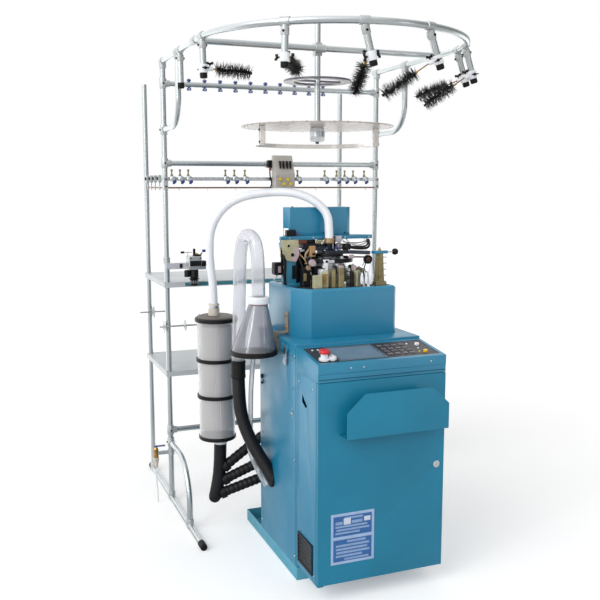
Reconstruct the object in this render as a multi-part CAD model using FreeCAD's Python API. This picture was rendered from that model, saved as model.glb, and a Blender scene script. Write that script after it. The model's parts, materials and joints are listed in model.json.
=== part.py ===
"""Circular sock knitting machine with its yarn creel and suction hoses.

The floor point under the needle cylinder is the origin.  X runs to the machine's right
seen from the front, Y to the back and Z up.  All sizes are millimetres.
"""
import FreeCAD
import Part
import math
import os

V = FreeCAD.Vector
UP = V(0, 0, 1)
RIGHT = V(1, 0, 0)
BACK = V(0, 1, 0)

# ---------------------------------------------------------------- shared clearances
SEAT = 0.3            # gap between pieces that sit close without touching
RUNNING = 0.05        # radial play of a shaft in its hole
SHEET = 2.0           # steel sheet of the casings

# ---------------------------------------------------------------- floor tray and body
BODY_HALF = 254.0     # half width of the main body
BODY_FRONT = -292.0
BODY_REAR = 130.0
TRAY_REAR = 327.0     # the floor tray runs on behind the body
TRAY_HEIGHT = 50.0
TRAY_SHEET = 3.0
BODY_TOP = 905.0
TABLE_THICK = 10.0
TABLE_LIP = 4.0
TABLE_Z = BODY_TOP + TABLE_THICK

# ---------------------------------------------------------------- guard box on the table
GUARD_LEFT = -211.0
GUARD_RIGHT = 208.0
GUARD_FRONT = -197.0
GUARD_REAR = 139.0
GUARD_HEIGHT = 188.0
GUARD_CHAMFER_X = 54.0
GUARD_CHAMFER_Y = 77.0
GUARD_CORNER = 14.0
GUARD_RIM = 20.0      # folded rim that frames the bed plate
GUARD_BEVEL = 8.0
GUARD_Z = TABLE_Z + GUARD_HEIGHT
BED_THICK = 16.0
BED_DROP = 4.0        # bed surface below the guard's rim
BED_Z = GUARD_Z - BED_DROP
PILLAR = 34.0

# ---------------------------------------------------------------- control cabinet
CAB_FRONT = -497.0
CAB_BOTTOM = 67.0
DOOR_DEPTH = 18.0
DOOR_SHEET = 1.5
DOOR_GAP = 1.5
SEAM_Z = 816.0        # door top and console underside
CONSOLE_FRONT_Z = 881.0
CONSOLE_RISE = 27.0   # the console is that much higher at the back
CONSOLE_FOLD_Z = 847.0
INSERT_SIDE = 14.0
INSERT_FRONT = 20.0
INSERT_REAR = 22.0
INSERT_DEEP = 6.0
LEDGE = 8.0           # the panel rests on a ledge that wide round the window
CONSOLE_TOP_DEEP = 10.0
HINGE_PIN_R = 3.0
HINGE_INSET = 6.0
PIN_SLOT_PLAY = 0.6

# ---------------------------------------------------------------- document tray
HOLDER_LEFT = -BODY_HALF + 84.0
HOLDER_RIGHT = BODY_HALF - 18.0
HOLDER_BOTTOM = 622.0
HOLDER_HEIGHT = 158.0
HOLDER_DEPTH = 58.0
HOLDER_CORNER_X = 70.0
HOLDER_CORNER_Z = 64.0
HOLDER_SHEET = 1.5

# ---------------------------------------------------------------- knitting head
SLOTS = 16
HEAD_SIDES = 16
CYLINDER_R = 50.0
CYLINDER_BORE = 40.0
CYLINDER_RISE = 97.0  # top of the cylinder above the bed
CYLINDER_DROP = 89.0  # its lower end below the bed
CYLINDER_TOP = BED_Z + CYLINDER_RISE
CYLINDER_BOTTOM = BED_Z - CYLINDER_DROP
SLOT_DEPTH = 4.0
SLOT_WIDTH = 3.4
NEEDLE_WIDTH = 1.8
NEEDLE_RISE = 5.0
PULLEY_R = 64.0
PULLEY_HEIGHT = 26.0
CAM_OUTER = 92.0
CAM_TOP = CYLINDER_TOP - 30.0
CAM_FEET = 6
DIAL_R = 46.0
DIAL_THICK = 7.0
DIAL_LIFT = 3.6       # running height of the dial above the cylinder
DIAL_SHAFT_R = 9.0
ARM_HALF = 28.0       # half width of the dial arm
PLATE_Z = CYLINDER_TOP + 80.0      # underside of the head plate
PLATE_THICK = 15.0
PLATE_FRONT = 25.0
PLATE_REAR = 130.0
PLATE_LEFT = -198.0
PLATE_RIGHT = 205.0
HEAD_PIN_X = -184.0
HEAD_PIN_Z = PLATE_Z - 18.0
HEAD_PIN_R = 6.0
COVER_HEIGHT = 114.0
COVER_LEFT = -169.0
COVER_LEFT_REAR = -151.0       # its left side runs in towards the back
COVER_RIGHT = 125.0
COVER_FRONT = 60.0
COVER_REAR = 128.0
COLUMN_FRONT = -8.0
COLUMN_TOP = PLATE_Z - 40.0
COLUMN_REAR = 47.0
FINGER_COUNT = 3
FINGER_WIDTH = 6.0
FINGER_PITCH = 12.0
BRACKET_X = 166.0
BRACKET_Y = -120.0
BRACKET_TOP = PLATE_Z - 52.0

# ---------------------------------------------------------------- creel
TUBE_R = 12.5
TUBE_SIDES = 12
CREEL_X = 12.0        # the creel stands a little to the right of the needle axis
CREEL_HALF = 530.0
POST_FRONT = 680.0
POST_REAR = 1117.0
REAR_POST_TOP = 1985.0
FOOT_FRONT = 118.0
FOOT_REAR = 1140.0
CAP_R = 15.0
CAP_LENGTH = 36.0
CAP_WALL = 3.0
RING_Z = 2038.0
RING_Y = 28.0         # centre of the round front of the top ring
CHORD_Y = 95.0
TOP_RAIL_Z = 1943.0
MIDDLE_RAIL_Z = 1592.0
LOWER_RAIL_Z = 347.0
PIN_BAR_Z = 1522.0
PIN_ROD_Z = 1482.0
SHELF_UPPER = 1050.0
SHELF_LOWER = 632.0
SHELF_LIP = 24.0
SHELF_OVERHANG = 16.0
STAY_TOP = 290.0
STAY_FRONT = 322.0
STAY_BEND = 180.0
BRACE_LOW = 1740.0
BRACE_FRONT = 385.0
BRACE_BEND = 120.0
DISC_Y = CHORD_Y + 2 * TUBE_R + 2.0
DISC_X = CREEL_X - 15.0
DISC_TOP = 2160.0
DISC_Z = 1728.0
DISC_R = 312.0
HOOP_R = 258.0
HOOP_Z = 1662.0
GUIDE_R = 138.0
GUIDE_Z = 1908.0

LEFT_POST = CREEL_X - CREEL_HALF
RIGHT_POST = CREEL_X + CREEL_HALF

# ---------------------------------------------------------------- suction side
CAN_X = -BODY_HALF - 154.0
CAN_Y = 250.0
CAN_TOP = 929.0
CAN_BOTTOM = 440.0
CAN_R_TOP = 82.0
CAN_R_BOTTOM = 75.0
CAN_WALL = 3.0
CAN_SIDES = 16
PORT_X = CAN_X - 8.0
TRUNK_X = CAN_X + 12.0
HOSE_R = 17.0
U_TUBE_R = 26.0
U_WALL = 2.5
CONE_R_TOP = 33.0
CONE_R_BOTTOM = 86.0
CONE_RIM = 5.0        # the sealing ring stands out that far
CONE_X = -(BODY_HALF + TABLE_LIP + CONE_R_BOTTOM + CONE_RIM)
CONE_Y = -80.0
CONE_TOP = TABLE_Z + 143.0
CONE_LEAN = 20.0      # the cone's top stands that far to the right of its ring
CONE_BOTTOM = TABLE_Z - 49.0
CONE_WALL = 2.5
CONE_SIDES = 16
BLACK_HOSE_R = 25.0
HOSE_SIDES = 8
HOSE_STEP = 22.5      # degrees of bend between two sections of a hose
RING_STEP = 9.0
BENT_SIDES = 8


# ================================================================ building blocks
def box(x0, x1, y0, y1, z0, z1):
    return Part.makeBox(x1 - x0, y1 - y0, z1 - z0, V(x0, y0, z0))


def polygon(points):
    return Part.Face(Part.makePolygon(points + [points[0]]))


def slab(outline, z0, z1):
    """A plate of constant outline in plan, from z0 up to z1."""
    face = polygon([V(x, y, z0) for x, y in outline])
    return face.extrude(V(0, 0, z1 - z0))


def side_profile(outline, x0, x1):
    """A section drawn in Y and Z, carried along X."""
    face = polygon([V(x0, y, z) for y, z in outline])
    return face.extrude(V(x1 - x0, 0, 0))


def front_profile(outline, y0, y1):
    """A section drawn in X and Z, carried along Y."""
    face = polygon([V(x, y0, z) for x, z in outline])
    return face.extrude(V(0, y1 - y0, 0))


def ngon(centre, axis, radius, sides):
    """A regular polygon round centre, square to axis."""
    axis = V(axis).normalize()
    lean = RIGHT if abs(axis.x) < 0.9 else BACK
    first = axis.cross(lean).normalize()
    second = axis.cross(first)
    corners = []
    for number in range(sides):
        angle = 2 * math.pi * (number + 0.5) / sides
        corners.append(centre + first * (radius * math.cos(angle)) + second * (radius * math.sin(angle)))
    return corners


def bar(start, end, radius, sides=TUBE_SIDES):
    """A straight faceted bar; its flats are as far apart as the round one's faces."""
    across = radius / math.cos(math.pi / sides) if sides < 8 else radius
    return polygon(ngon(start, end - start, across, sides)).extrude(end - start)


def hole(start, end, radius, sides, play=RUNNING):
    """A faceted hole whose flats clear the corners of a faceted shaft that turns in it."""
    return bar(start, end, (radius + play) / math.cos(math.pi / sides), sides)


def sleeve(start, end, outer, inner, sides):
    return bar(start, end, outer, sides).cut(bar(start, end, inner, sides))


def turned(x, y, profile, sides):
    """A faceted turned piece: (radius, height) rings joined by straight walls."""
    return skin([ngon(V(x, y, height), UP, radius, sides) for radius, height in profile])


def skin(rings):
    """A closed body of flat walls over a row of equal polygons."""
    faces = [polygon(rings[0]), polygon(rings[-1])]
    for low, high in zip(rings, rings[1:]):
        for number in range(len(low)):
            after = (number + 1) % len(low)
            faces.append(polygon([low[number], low[after], high[after], high[number]]))
    shell = Part.makeShell(faces)
    shell.sewShape()
    solid = Part.makeSolid(shell)
    if solid.Volume < 0:
        solid.reverse()
    return solid


def bent(points, radius, bends, sides, step):
    """A tube along straight runs joined by arcs tangent to both of them."""
    return skin(sections_along(points, radius, bends, sides, step))


def sections_along(points, radius, bends, sides, step):
    ring = ngon(points[0], points[1] - points[0], radius, sides)
    sections = [ring]
    centre = points[0]
    for number in range(1, len(points) - 1):
        before = (points[number] - points[number - 1]).normalize()
        after = (points[number + 1] - points[number]).normalize()
        turn = before.getAngle(after)
        bend = bends[number - 1]
        setback = bend * math.tan(turn / 2)
        start = points[number] - before * setback
        ring = [corner + (start - centre) for corner in ring]
        if (start - centre).Length > 0.01:
            sections.append(ring)
        axis = before.cross(after).normalize()
        pivot = start + axis.cross(before) * bend
        count = max(1, math.ceil(math.degrees(turn) / step))
        spin = FreeCAD.Rotation(axis, math.degrees(turn) / count)
        for _ in range(count):
            ring = [pivot + spin.multVec(corner - pivot) for corner in ring]
            sections.append(ring)
        centre = points[number] + after * setback
    ring = [corner + (points[-1] - centre) for corner in ring]
    sections.append(ring)
    return sections


def bend_radii(points, share=0.45):
    """The largest arc that each corner of a hose's route leaves room for."""
    radii = []
    for number in range(1, len(points) - 1):
        before = points[number] - points[number - 1]
        after = points[number + 1] - points[number]
        turn = before.getAngle(after)
        radii.append(share * min(before.Length, after.Length) / math.tan(turn / 2))
    return radii


def even(radius, sides):
    """Corner radius of the polygon whose area is that of the round section."""
    return radius * math.sqrt(2 * math.pi / (sides * math.sin(2 * math.pi / sides)))


def hose(name, points, radius, sides=HOSE_SIDES):
    radii = bend_radii(points)
    print(name, "bend radii", [round(value) for value in radii])
    return bent(points, even(radius, sides), radii, sides, HOSE_STEP)


def ribbed(start, end, radius, depth, ribs, sides):
    """A corrugated hose between two points: crests and valleys in turn."""
    rings = []
    for number in range(2 * ribs + 1):
        place = start + (end - start) * (number / (2 * ribs))
        size = radius if number % 2 else radius - depth
        rings.append(ngon(place, end - start, size, sides))
    return skin(rings)


def group(shapes):
    return Part.makeCompound(shapes)


def fuse(shapes):
    joined = shapes[0].multiFuse(shapes[1:])
    return joined.removeSplitter()


def save(name, shape):
    shape.exportStep(os.path.join("parts", name + ".step"))


# ================================================================ body and casings
def base_tray():
    outer = box(-BODY_HALF, BODY_HALF, BODY_FRONT, TRAY_REAR, 0, TRAY_HEIGHT)
    inner = box(-BODY_HALF + TRAY_SHEET, BODY_HALF - TRAY_SHEET,
                BODY_FRONT + TRAY_SHEET, TRAY_REAR - TRAY_SHEET, TRAY_SHEET, TRAY_HEIGHT + 1)
    return outer.cut(inner)


def main_cabinet():
    outer = box(-BODY_HALF, BODY_HALF, BODY_FRONT, BODY_REAR, TRAY_HEIGHT, BODY_TOP)
    table = box(-BODY_HALF - TABLE_LIP, BODY_HALF + TABLE_LIP,
                BODY_FRONT + SEAT, BODY_REAR + TABLE_LIP, BODY_TOP, TABLE_Z)
    inner = box(-BODY_HALF + SHEET, BODY_HALF - SHEET,
                BODY_FRONT + SHEET, BODY_REAR - SHEET, TRAY_HEIGHT + SHEET, BODY_TOP)
    opening = bar(V(0, 0, BODY_TOP - 1), V(0, 0, TABLE_Z + 1), CYLINDER_BORE, 8)
    ears = []
    for way in (-1, 1):
        near = LATCH_Y + way * (LATCH_PIN_HALF + SEAT)
        far = near + way * LATCH_EAR
        ears.append(box(-BODY_HALF - LATCH_OFF - 8, -BODY_HALF, min(near, far), max(near, far),
                        LATCH_Z - 12, LATCH_Z + 6))
    return fuse([outer, table] + ears).cut(inner).cut(opening)


def guard_outline(inset):
    left = GUARD_LEFT + inset
    right = GUARD_RIGHT - inset
    front = GUARD_FRONT + inset
    rear = GUARD_REAR - inset
    slope = math.hypot(GUARD_CHAMFER_X, GUARD_CHAMFER_Y)
    along_y = inset * (1 + GUARD_CHAMFER_Y / GUARD_CHAMFER_X - slope / GUARD_CHAMFER_X)
    along_x = inset * (1 + GUARD_CHAMFER_X / GUARD_CHAMFER_Y - slope / GUARD_CHAMFER_Y)
    corner = inset * (2 - math.sqrt(2))
    return [
        (left, rear), (left, front + GUARD_CHAMFER_Y - along_y), (left + GUARD_CHAMFER_X - along_x, front),
        (right - GUARD_CORNER + corner, front), (right, front + GUARD_CORNER - corner), (right, rear),
    ]


def pedestal_cover():
    walls = slab(guard_outline(0), TABLE_Z, GUARD_Z - GUARD_BEVEL)
    low = [V(x, y, GUARD_Z - GUARD_BEVEL) for x, y in guard_outline(0)]
    high = [V(x, y, GUARD_Z) for x, y in guard_outline(GUARD_BEVEL)]
    bevel = skin([low, high])
    hollow = slab(guard_outline(SHEET), TABLE_Z - 1, BED_Z - BED_THICK)
    well = slab(guard_outline(GUARD_RIM), BED_Z - BED_THICK - 1, GUARD_Z + 1)
    return fuse([walls, bevel]).cut(hollow).cut(well)


def bed_plate():
    plate = slab(guard_outline(GUARD_RIM + SEAT), BED_Z - BED_THICK, BED_Z)
    plate = plate.cut(bar(V(0, 0, BED_Z - BED_THICK - 1), V(0, 0, BED_Z + 1), CYLINDER_R + 3, HEAD_SIDES))
    pillars = []
    edge = GUARD_RIM + 24
    for x in (GUARD_LEFT + edge, GUARD_RIGHT - edge - PILLAR):
        for y in (GUARD_FRONT + edge + GUARD_CHAMFER_Y / 2, GUARD_REAR - edge - PILLAR):
            pillars.append(box(x, x + PILLAR, y, y + PILLAR, TABLE_Z, BED_Z - BED_THICK))
    return fuse([plate] + pillars)


# ================================================================ control cabinet
def control_cabinet():
    front = CAB_FRONT + DOOR_DEPTH + DOOR_GAP
    rear = BODY_FRONT - SEAT
    outer = box(-BODY_HALF, BODY_HALF, front, rear, CAB_BOTTOM, SEAM_Z)
    inner = box(-BODY_HALF + SHEET, BODY_HALF - SHEET, front - 1, rear - SHEET, CAB_BOTTOM + SHEET, SEAM_Z - SHEET)
    lug = box(-BODY_HALF, -BODY_HALF + 24, CAB_FRONT, front + 4, CAB_BOTTOM, CAB_BOTTOM + SHEET)
    grip = side_profile([(-394, 708), (-345, 744), (-345, 716), (-378, 700)],
                        -BODY_HALF - 1, -BODY_HALF + SHEET + 1)
    pin = hinge_pin(CAB_BOTTOM + SHEET, 1)
    return fuse([outer.cut(inner), lug, pin]).cut(grip)


def hinge_pin(z, way):
    start = V(-BODY_HALF + HINGE_INSET, CAB_FRONT + HINGE_INSET, z)
    return bar(start, start + UP * (way * 12.0), HINGE_PIN_R, 8)


def cabinet_door():
    x0 = -BODY_HALF + 0.5
    x1 = BODY_HALF - 0.5
    z0 = CAB_BOTTOM + SHEET + DOOR_GAP
    z1 = SEAM_Z - DOOR_GAP
    outer = box(x0, x1, CAB_FRONT, CAB_FRONT + DOOR_DEPTH, z0, z1)
    inner = box(x0 + DOOR_SHEET, x1 - DOOR_SHEET, CAB_FRONT + DOOR_SHEET, CAB_FRONT + DOOR_DEPTH + 1,
                z0 + DOOR_SHEET, z1 - DOOR_SHEET)
    pin = V(-BODY_HALF + HINGE_INSET, CAB_FRONT + HINGE_INSET, 0)
    half = HINGE_PIN_R + PIN_SLOT_PLAY
    low = box(pin.x - half, pin.x + half, pin.y - half, pin.y + half, z0 - 1, z0 + DOOR_SHEET + 1)
    high = low.translated(V(0, 0, z1 - z0 - DOOR_SHEET))
    lock = hole(V(LOCK_X, CAB_FRONT - 1, LOCK_Z), V(LOCK_X, CAB_FRONT + 6, LOCK_Z), LOCK_R, 12)
    return outer.cut(inner).cut(low).cut(high).cut(lock)


LOCK_X = BODY_HALF - 33.0
LOCK_Z = 470.0
LOCK_R = 11.0


def door_lock():
    """A quarter-turn lock: flanged barrel with a key slot and a cam behind the door."""
    barrel = bar(V(LOCK_X, CAB_FRONT - 2.5, LOCK_Z), V(LOCK_X, CAB_FRONT + 12, LOCK_Z), LOCK_R, 12)
    flange = bar(V(LOCK_X, CAB_FRONT - 3.5, LOCK_Z), V(LOCK_X, CAB_FRONT - 0.1, LOCK_Z), LOCK_R + 3, 12)
    cam = box(LOCK_X - 6, LOCK_X + 26, CAB_FRONT + 10, CAB_FRONT + 12, LOCK_Z - 6, LOCK_Z + 6)
    slot = box(LOCK_X - 1, LOCK_X + 1, CAB_FRONT - 5, CAB_FRONT - 1, LOCK_Z - 5, LOCK_Z + 5)
    return fuse([barrel, flange, cam]).cut(slot)


def document_tray():
    """One folded sheet: a floor, and a front plate with both top corners cut off."""
    front = CAB_FRONT - HOLDER_DEPTH
    top = HOLDER_BOTTOM + HOLDER_HEIGHT
    outline = [
        (HOLDER_LEFT, HOLDER_BOTTOM), (HOLDER_RIGHT, HOLDER_BOTTOM),
        (HOLDER_RIGHT, top - HOLDER_CORNER_Z), (HOLDER_RIGHT - HOLDER_CORNER_X, top),
        (HOLDER_LEFT + HOLDER_CORNER_X, top), (HOLDER_LEFT, top - HOLDER_CORNER_Z),
    ]
    plate = front_profile(outline, front, front + HOLDER_SHEET)
    floor = box(HOLDER_LEFT, HOLDER_RIGHT, front, CAB_FRONT, HOLDER_BOTTOM, HOLDER_BOTTOM + HOLDER_SHEET)
    flange = box(HOLDER_LEFT, HOLDER_RIGHT, CAB_FRONT - HOLDER_SHEET, CAB_FRONT,
                 HOLDER_BOTTOM - 18, HOLDER_BOTTOM + HOLDER_SHEET)
    return fuse([plate, floor, flange])


# ---------------------------------------------------------------- console
CONSOLE_SLOPE = math.degrees(math.atan2(CONSOLE_RISE, BODY_FRONT - CAB_FRONT))


def on_console(shape):
    """Lay a shape drawn on a level top (front edge at y 0, surface at z 0) on the slope."""
    placed = shape.copy()
    placed.rotate(V(0, 0, 0), RIGHT, CONSOLE_SLOPE)
    placed.translate(V(0, CAB_FRONT, CONSOLE_FRONT_Z))
    return placed


def insert_rear():
    return (BODY_FRONT - CAB_FRONT) / math.cos(math.radians(CONSOLE_SLOPE)) - INSERT_REAR


def console_top():
    rear = BODY_FRONT - SEAT
    rear_z = CONSOLE_FRONT_Z + CONSOLE_RISE
    fold = 2.0
    outline = [
        (CAB_FRONT + fold, SEAM_Z), (rear, SEAM_Z), (rear, rear_z), (CAB_FRONT, CONSOLE_FRONT_Z),
        (CAB_FRONT, CONSOLE_FOLD_Z), (CAB_FRONT + fold, CONSOLE_FOLD_Z - fold),
    ]
    inner = [
        (CAB_FRONT + fold + SHEET, SEAM_Z - 1), (rear - SHEET, SEAM_Z - 1),
        (rear - SHEET, rear_z - CONSOLE_TOP_DEEP), (CAB_FRONT + SHEET + fold, CONSOLE_FRONT_Z - CONSOLE_TOP_DEEP),
    ]
    body = side_profile(outline, -BODY_HALF, BODY_HALF)
    body = body.cut(side_profile(inner, -BODY_HALF + SHEET, BODY_HALF - SHEET))
    recess = on_console(box(-BODY_HALF + INSERT_SIDE, BODY_HALF - INSERT_SIDE,
                            INSERT_FRONT, insert_rear(), -INSERT_DEEP, 5))
    window = on_console(box(-BODY_HALF + INSERT_SIDE + LEDGE, BODY_HALF - INSERT_SIDE - LEDGE,
                            INSERT_FRONT + LEDGE, insert_rear() - LEDGE, -CONSOLE_TOP_DEEP - 9, -INSERT_DEEP + 1))
    corner = box(-BODY_HALF, -BODY_HALF + 14, CAB_FRONT + fold, CAB_FRONT + 16, SEAM_Z, SEAM_Z + SHEET)
    return fuse([body, corner, hinge_pin(SEAM_Z, -1)]).cut(recess).cut(window)


def console_insert():
    panel = box(-BODY_HALF + INSERT_SIDE + SEAT, BODY_HALF - INSERT_SIDE - SEAT,
                INSERT_FRONT + SEAT, insert_rear() - SEAT, -INSERT_DEEP, -INSERT_DEEP + PANEL_THICK)
    keys = []
    for column in range(KEY_COLUMNS):
        for row in range(KEY_ROWS):
            x = KEY_X + column * KEY_PITCH
            y = KEY_Y + row * KEY_PITCH
            keys.append(box(x, x + KEY_SIZE, y, y + KEY_SIZE, PANEL_TOP, PANEL_TOP + KEY_RISE))
    panel = fuse([panel] + keys)
    for x, y, radius in (ESTOP, JOG, START):
        panel = panel.cut(bar(V(x, y, -INSERT_DEEP - 1), V(x, y, 2), radius + WELL_PLAY, 8))
    x, y, radius = SELECTOR
    panel = panel.cut(hole(V(x, y, -INSERT_DEEP - 1), V(x, y, 2), radius, 8, WELL_PLAY))
    return on_console(panel)


WELL_PLAY = 0.1
PANEL_THICK = 4.5
PANEL_TOP = -INSERT_DEEP + PANEL_THICK
KEY_COLUMNS = 4
KEY_ROWS = 4
KEY_PITCH = 30.0
KEY_SIZE = 20.0
KEY_RISE = 1.2
DISPLAY_LEFT = -BODY_HALF + 94.0
DISPLAY_WIDTH = 190.0
KEY_X = DISPLAY_LEFT + DISPLAY_WIDTH + 14.0
KEY_Y = 46.0
# x, distance from the console's front edge, and barrel radius of each control
ESTOP = (-BODY_HALF + 42.0, 48.0, 14.0)
SELECTOR = (-BODY_HALF + 70.0, 40.0, 8.0)
JOG = (BODY_HALF - 50.0, 132.0, 9.0)
START = (BODY_HALF - 58.0, 52.0, 9.0)
PUSH_TRAVEL = 4.0


def display_panel():
    """The flat display between the switches and the keypad, with a raised bezel."""
    x0, x1, y0, y1 = DISPLAY_LEFT, DISPLAY_LEFT + DISPLAY_WIDTH, 26.0, 176.0
    glass = box(x0, x1, y0, y1, PANEL_TOP, PANEL_TOP + 1.0)
    bezel = box(x0, x1, y0, y1, PANEL_TOP, PANEL_TOP + 2.0)
    window = box(x0 + 10, x1 - 10, y0 + 12, y1 - 12, PANEL_TOP + 1.0, PANEL_TOP + 3.0)
    return on_console(fuse([glass, bezel]).cut(window))


def estop_button():
    """Red mushroom head on its stem, standing on a collar in the panel."""
    x, y, radius = ESTOP
    profile = [(radius, -INSERT_DEEP), (radius, 26.0), (20.0, 29.0), (20.0, 35.0), (15.0, 40.0)]
    return on_console(turned(x, y, profile, 8))


def selector_knob():
    x, y, radius = SELECTOR
    stem = turned(x, y, [(radius, -INSERT_DEEP), (radius, 3.0)], 8)
    head = turned(x, y, [(15.0, 3.0), (14.0, 15.0)], 8)
    grip = box(x - 3.5, x + 3.5, y - 13, y + 13, 15.0, 24.0)
    return on_console(fuse([stem, head, grip]))


def push_button(place):
    x, y, radius = place
    return on_console(turned(x, y, [(radius, -INSERT_DEEP), (radius, 5.5), (radius - 1.5, 7.0)], 8))


def fan_grille():
    """Louvred ventilation grille low on the cabinet's left side."""
    y0, y1, z0, z1 = -452.0, -310.0, 92.0, 208.0
    x1 = -BODY_HALF
    x0 = x1 - 5.0
    frame = box(x0, x1, y0, y1, z0, z1).cut(box(x0 - 1, x1 + 1, y0 + 9, y1 - 9, z0 + 9, z1 - 9))
    blades = []
    count = 6
    pitch = (z1 - z0 - 18) / count
    for number in range(count):
        z = z0 + 9 + number * pitch
        outline = [(x0 + 0.5, z + 3), (x1 - 0.5, z + pitch - 6), (x1 - 0.5, z + pitch - 3), (x0 + 0.5, z + 6)]
        blades.append(front_profile(outline, y0 + 8, y1 - 8))
    return fuse([frame] + blades)


def body_latch():
    """Over-centre latch at the rear of the body's left side, under the table."""
    x = -BODY_HALF - LATCH_OFF
    lever = front_profile([(x, LATCH_Z), (x - 5, LATCH_Z), (x - 9, LATCH_Z - 62), (x - 5, LATCH_Z - 74),
                           (x - 1, LATCH_Z - 66)], LATCH_Y - 13, LATCH_Y + 13)
    pivot = bar(V(x - 3, LATCH_Y - LATCH_PIN_HALF, LATCH_Z - 2), V(x - 3, LATCH_Y + LATCH_PIN_HALF, LATCH_Z - 2),
                3.6, 8)
    return fuse([lever, pivot])


LATCH_OFF = 5.5
LATCH_EAR = 4.0
LATCH_PIN_HALF = 17.0
LATCH_Y = -196.0
LATCH_Z = BODY_TOP - 9.0


# ================================================================ drive
MOTOR_X = 150.0
MOTOR_Y = 10.0
MOTOR_PULLEY_R = 32.0
BELT_THICK = 3.0
PULLEY_Z = CYLINDER_BOTTOM


def drive_motor():
    body = box(MOTOR_X - 42, MOTOR_X + 42, MOTOR_Y - 42, MOTOR_Y + 42, TABLE_Z, PULLEY_Z - 24)
    nose = bar(V(MOTOR_X, MOTOR_Y, PULLEY_Z - 24), V(MOTOR_X, MOTOR_Y, PULLEY_Z - 12), 30.0, 8)
    return fuse([body, nose])


def motor_pulley():
    low = PULLEY_Z - 3
    high = PULLEY_Z + PULLEY_HEIGHT + 3
    parts = [
        bar(V(MOTOR_X, MOTOR_Y, PULLEY_Z), V(MOTOR_X, MOTOR_Y, high - 3), MOTOR_PULLEY_R, 12),
        bar(V(MOTOR_X, MOTOR_Y, low), V(MOTOR_X, MOTOR_Y, PULLEY_Z), MOTOR_PULLEY_R + 4, 12),
        bar(V(MOTOR_X, MOTOR_Y, high - 3), V(MOTOR_X, MOTOR_Y, high), MOTOR_PULLEY_R + 4, 12),
        bar(V(MOTOR_X, MOTOR_Y, PULLEY_Z - 12 + SEAT), V(MOTOR_X, MOTOR_Y, low), 9.0, 8),
    ]
    return fuse(parts)


def belt_outline(play):
    """The belt's line round both pulleys, with its tangents worked out."""
    big = PULLEY_R + play
    small = MOTOR_PULLEY_R + play
    span = math.hypot(MOTOR_X, MOTOR_Y)
    heading = math.atan2(MOTOR_Y, MOTOR_X)
    lean = math.acos((big - small) / span)
    corners = []
    steps = 12
    for number in range(steps + 1):
        angle = heading + lean + (2 * math.pi - 2 * lean) * number / steps
        corners.append((big * math.cos(angle), big * math.sin(angle)))
    for number in range(6 + 1):
        angle = heading - lean + 2 * lean * number / 6
        corners.append((MOTOR_X + small * math.cos(angle), MOTOR_Y + small * math.sin(angle)))
    return corners


def drive_belt():
    outer = slab(belt_outline(1.5 + BELT_THICK), PULLEY_Z + 2, PULLEY_Z + PULLEY_HEIGHT - 2)
    inner = slab(belt_outline(1.5), PULLEY_Z, PULLEY_Z + PULLEY_HEIGHT)
    return outer.cut(inner)


# ================================================================ knitting head
def slotted_outline(radius, depth, width):
    """A circle of that radius with a narrow slot between each pair of lands."""
    corners = []
    half = width / 2 / radius
    low = width / 2 / (radius - depth)
    for number in range(SLOTS):
        angle = 2 * math.pi * number / SLOTS
        for offset, size in ((-half, radius), (-low, radius - depth), (low, radius - depth), (half, radius)):
            corners.append((size * math.cos(angle + offset), size * math.sin(angle + offset)))
    return corners


def needle_cylinder():
    """Slotted cylinder with a needle standing in each slot, and its belt pulley below."""
    lands = CAM_TOP - 60
    outline = slotted_outline(CYLINDER_R, SLOT_DEPTH, SLOT_WIDTH)
    upper = slab(outline, lands, CYLINDER_TOP)
    lower = bar(V(0, 0, CYLINDER_BOTTOM), V(0, 0, lands), CYLINDER_R - SLOT_DEPTH, HEAD_SIDES)
    pulley = [
        bar(V(0, 0, PULLEY_Z), V(0, 0, PULLEY_Z + PULLEY_HEIGHT), PULLEY_R, HEAD_SIDES),
        bar(V(0, 0, PULLEY_Z - 3), V(0, 0, PULLEY_Z), PULLEY_R + 4, HEAD_SIDES),
    ]
    bore = bar(V(0, 0, CYLINDER_BOTTOM - 10), V(0, 0, CYLINDER_TOP + 1), CYLINDER_BORE, HEAD_SIDES)
    cylinder = fuse([upper, lower] + pulley).cut(bore)
    needles = []
    for number in range(SLOTS):
        angle = 360.0 * number / SLOTS
        root = CYLINDER_R - SLOT_DEPTH + 0.1
        section = [(root, -NEEDLE_WIDTH / 2), (root + SLOT_DEPTH - 0.5, 0), (root, NEEDLE_WIDTH / 2)]
        needle = slab(section, lands + 8, CYLINDER_TOP + NEEDLE_RISE)
        needle.rotate(V(0, 0, 0), UP, angle)
        needles.append(needle)
    return group([cylinder] + needles)


def cam_ring():
    """Fixed cam box round the cylinder, on feet, with bolted cam blocks on its rim."""
    inner = CYLINDER_R + 1.0
    ring = sleeve(V(0, 0, BED_Z + 14), V(0, 0, CAM_TOP), CAM_OUTER, inner, HEAD_SIDES)
    step = sleeve(V(0, 0, CAM_TOP), V(0, 0, CYLINDER_TOP - 8), inner + 16, inner, HEAD_SIDES)
    parts = [ring, step]
    for number in range(CAM_FEET):
        angle = 360.0 * (number + 0.5) / CAM_FEET
        foot = box(CAM_OUTER - 22, CAM_OUTER - 6, -9, 9, BED_Z, BED_Z + 14)
        block = box(CAM_OUTER - 14, CAM_OUTER + 12, -11, 11, CAM_TOP - 22, CAM_TOP + 10)
        for piece in (foot, block):
            piece.rotate(V(0, 0, 0), UP, angle)
            parts.append(piece)
    return fuse(parts)


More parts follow.
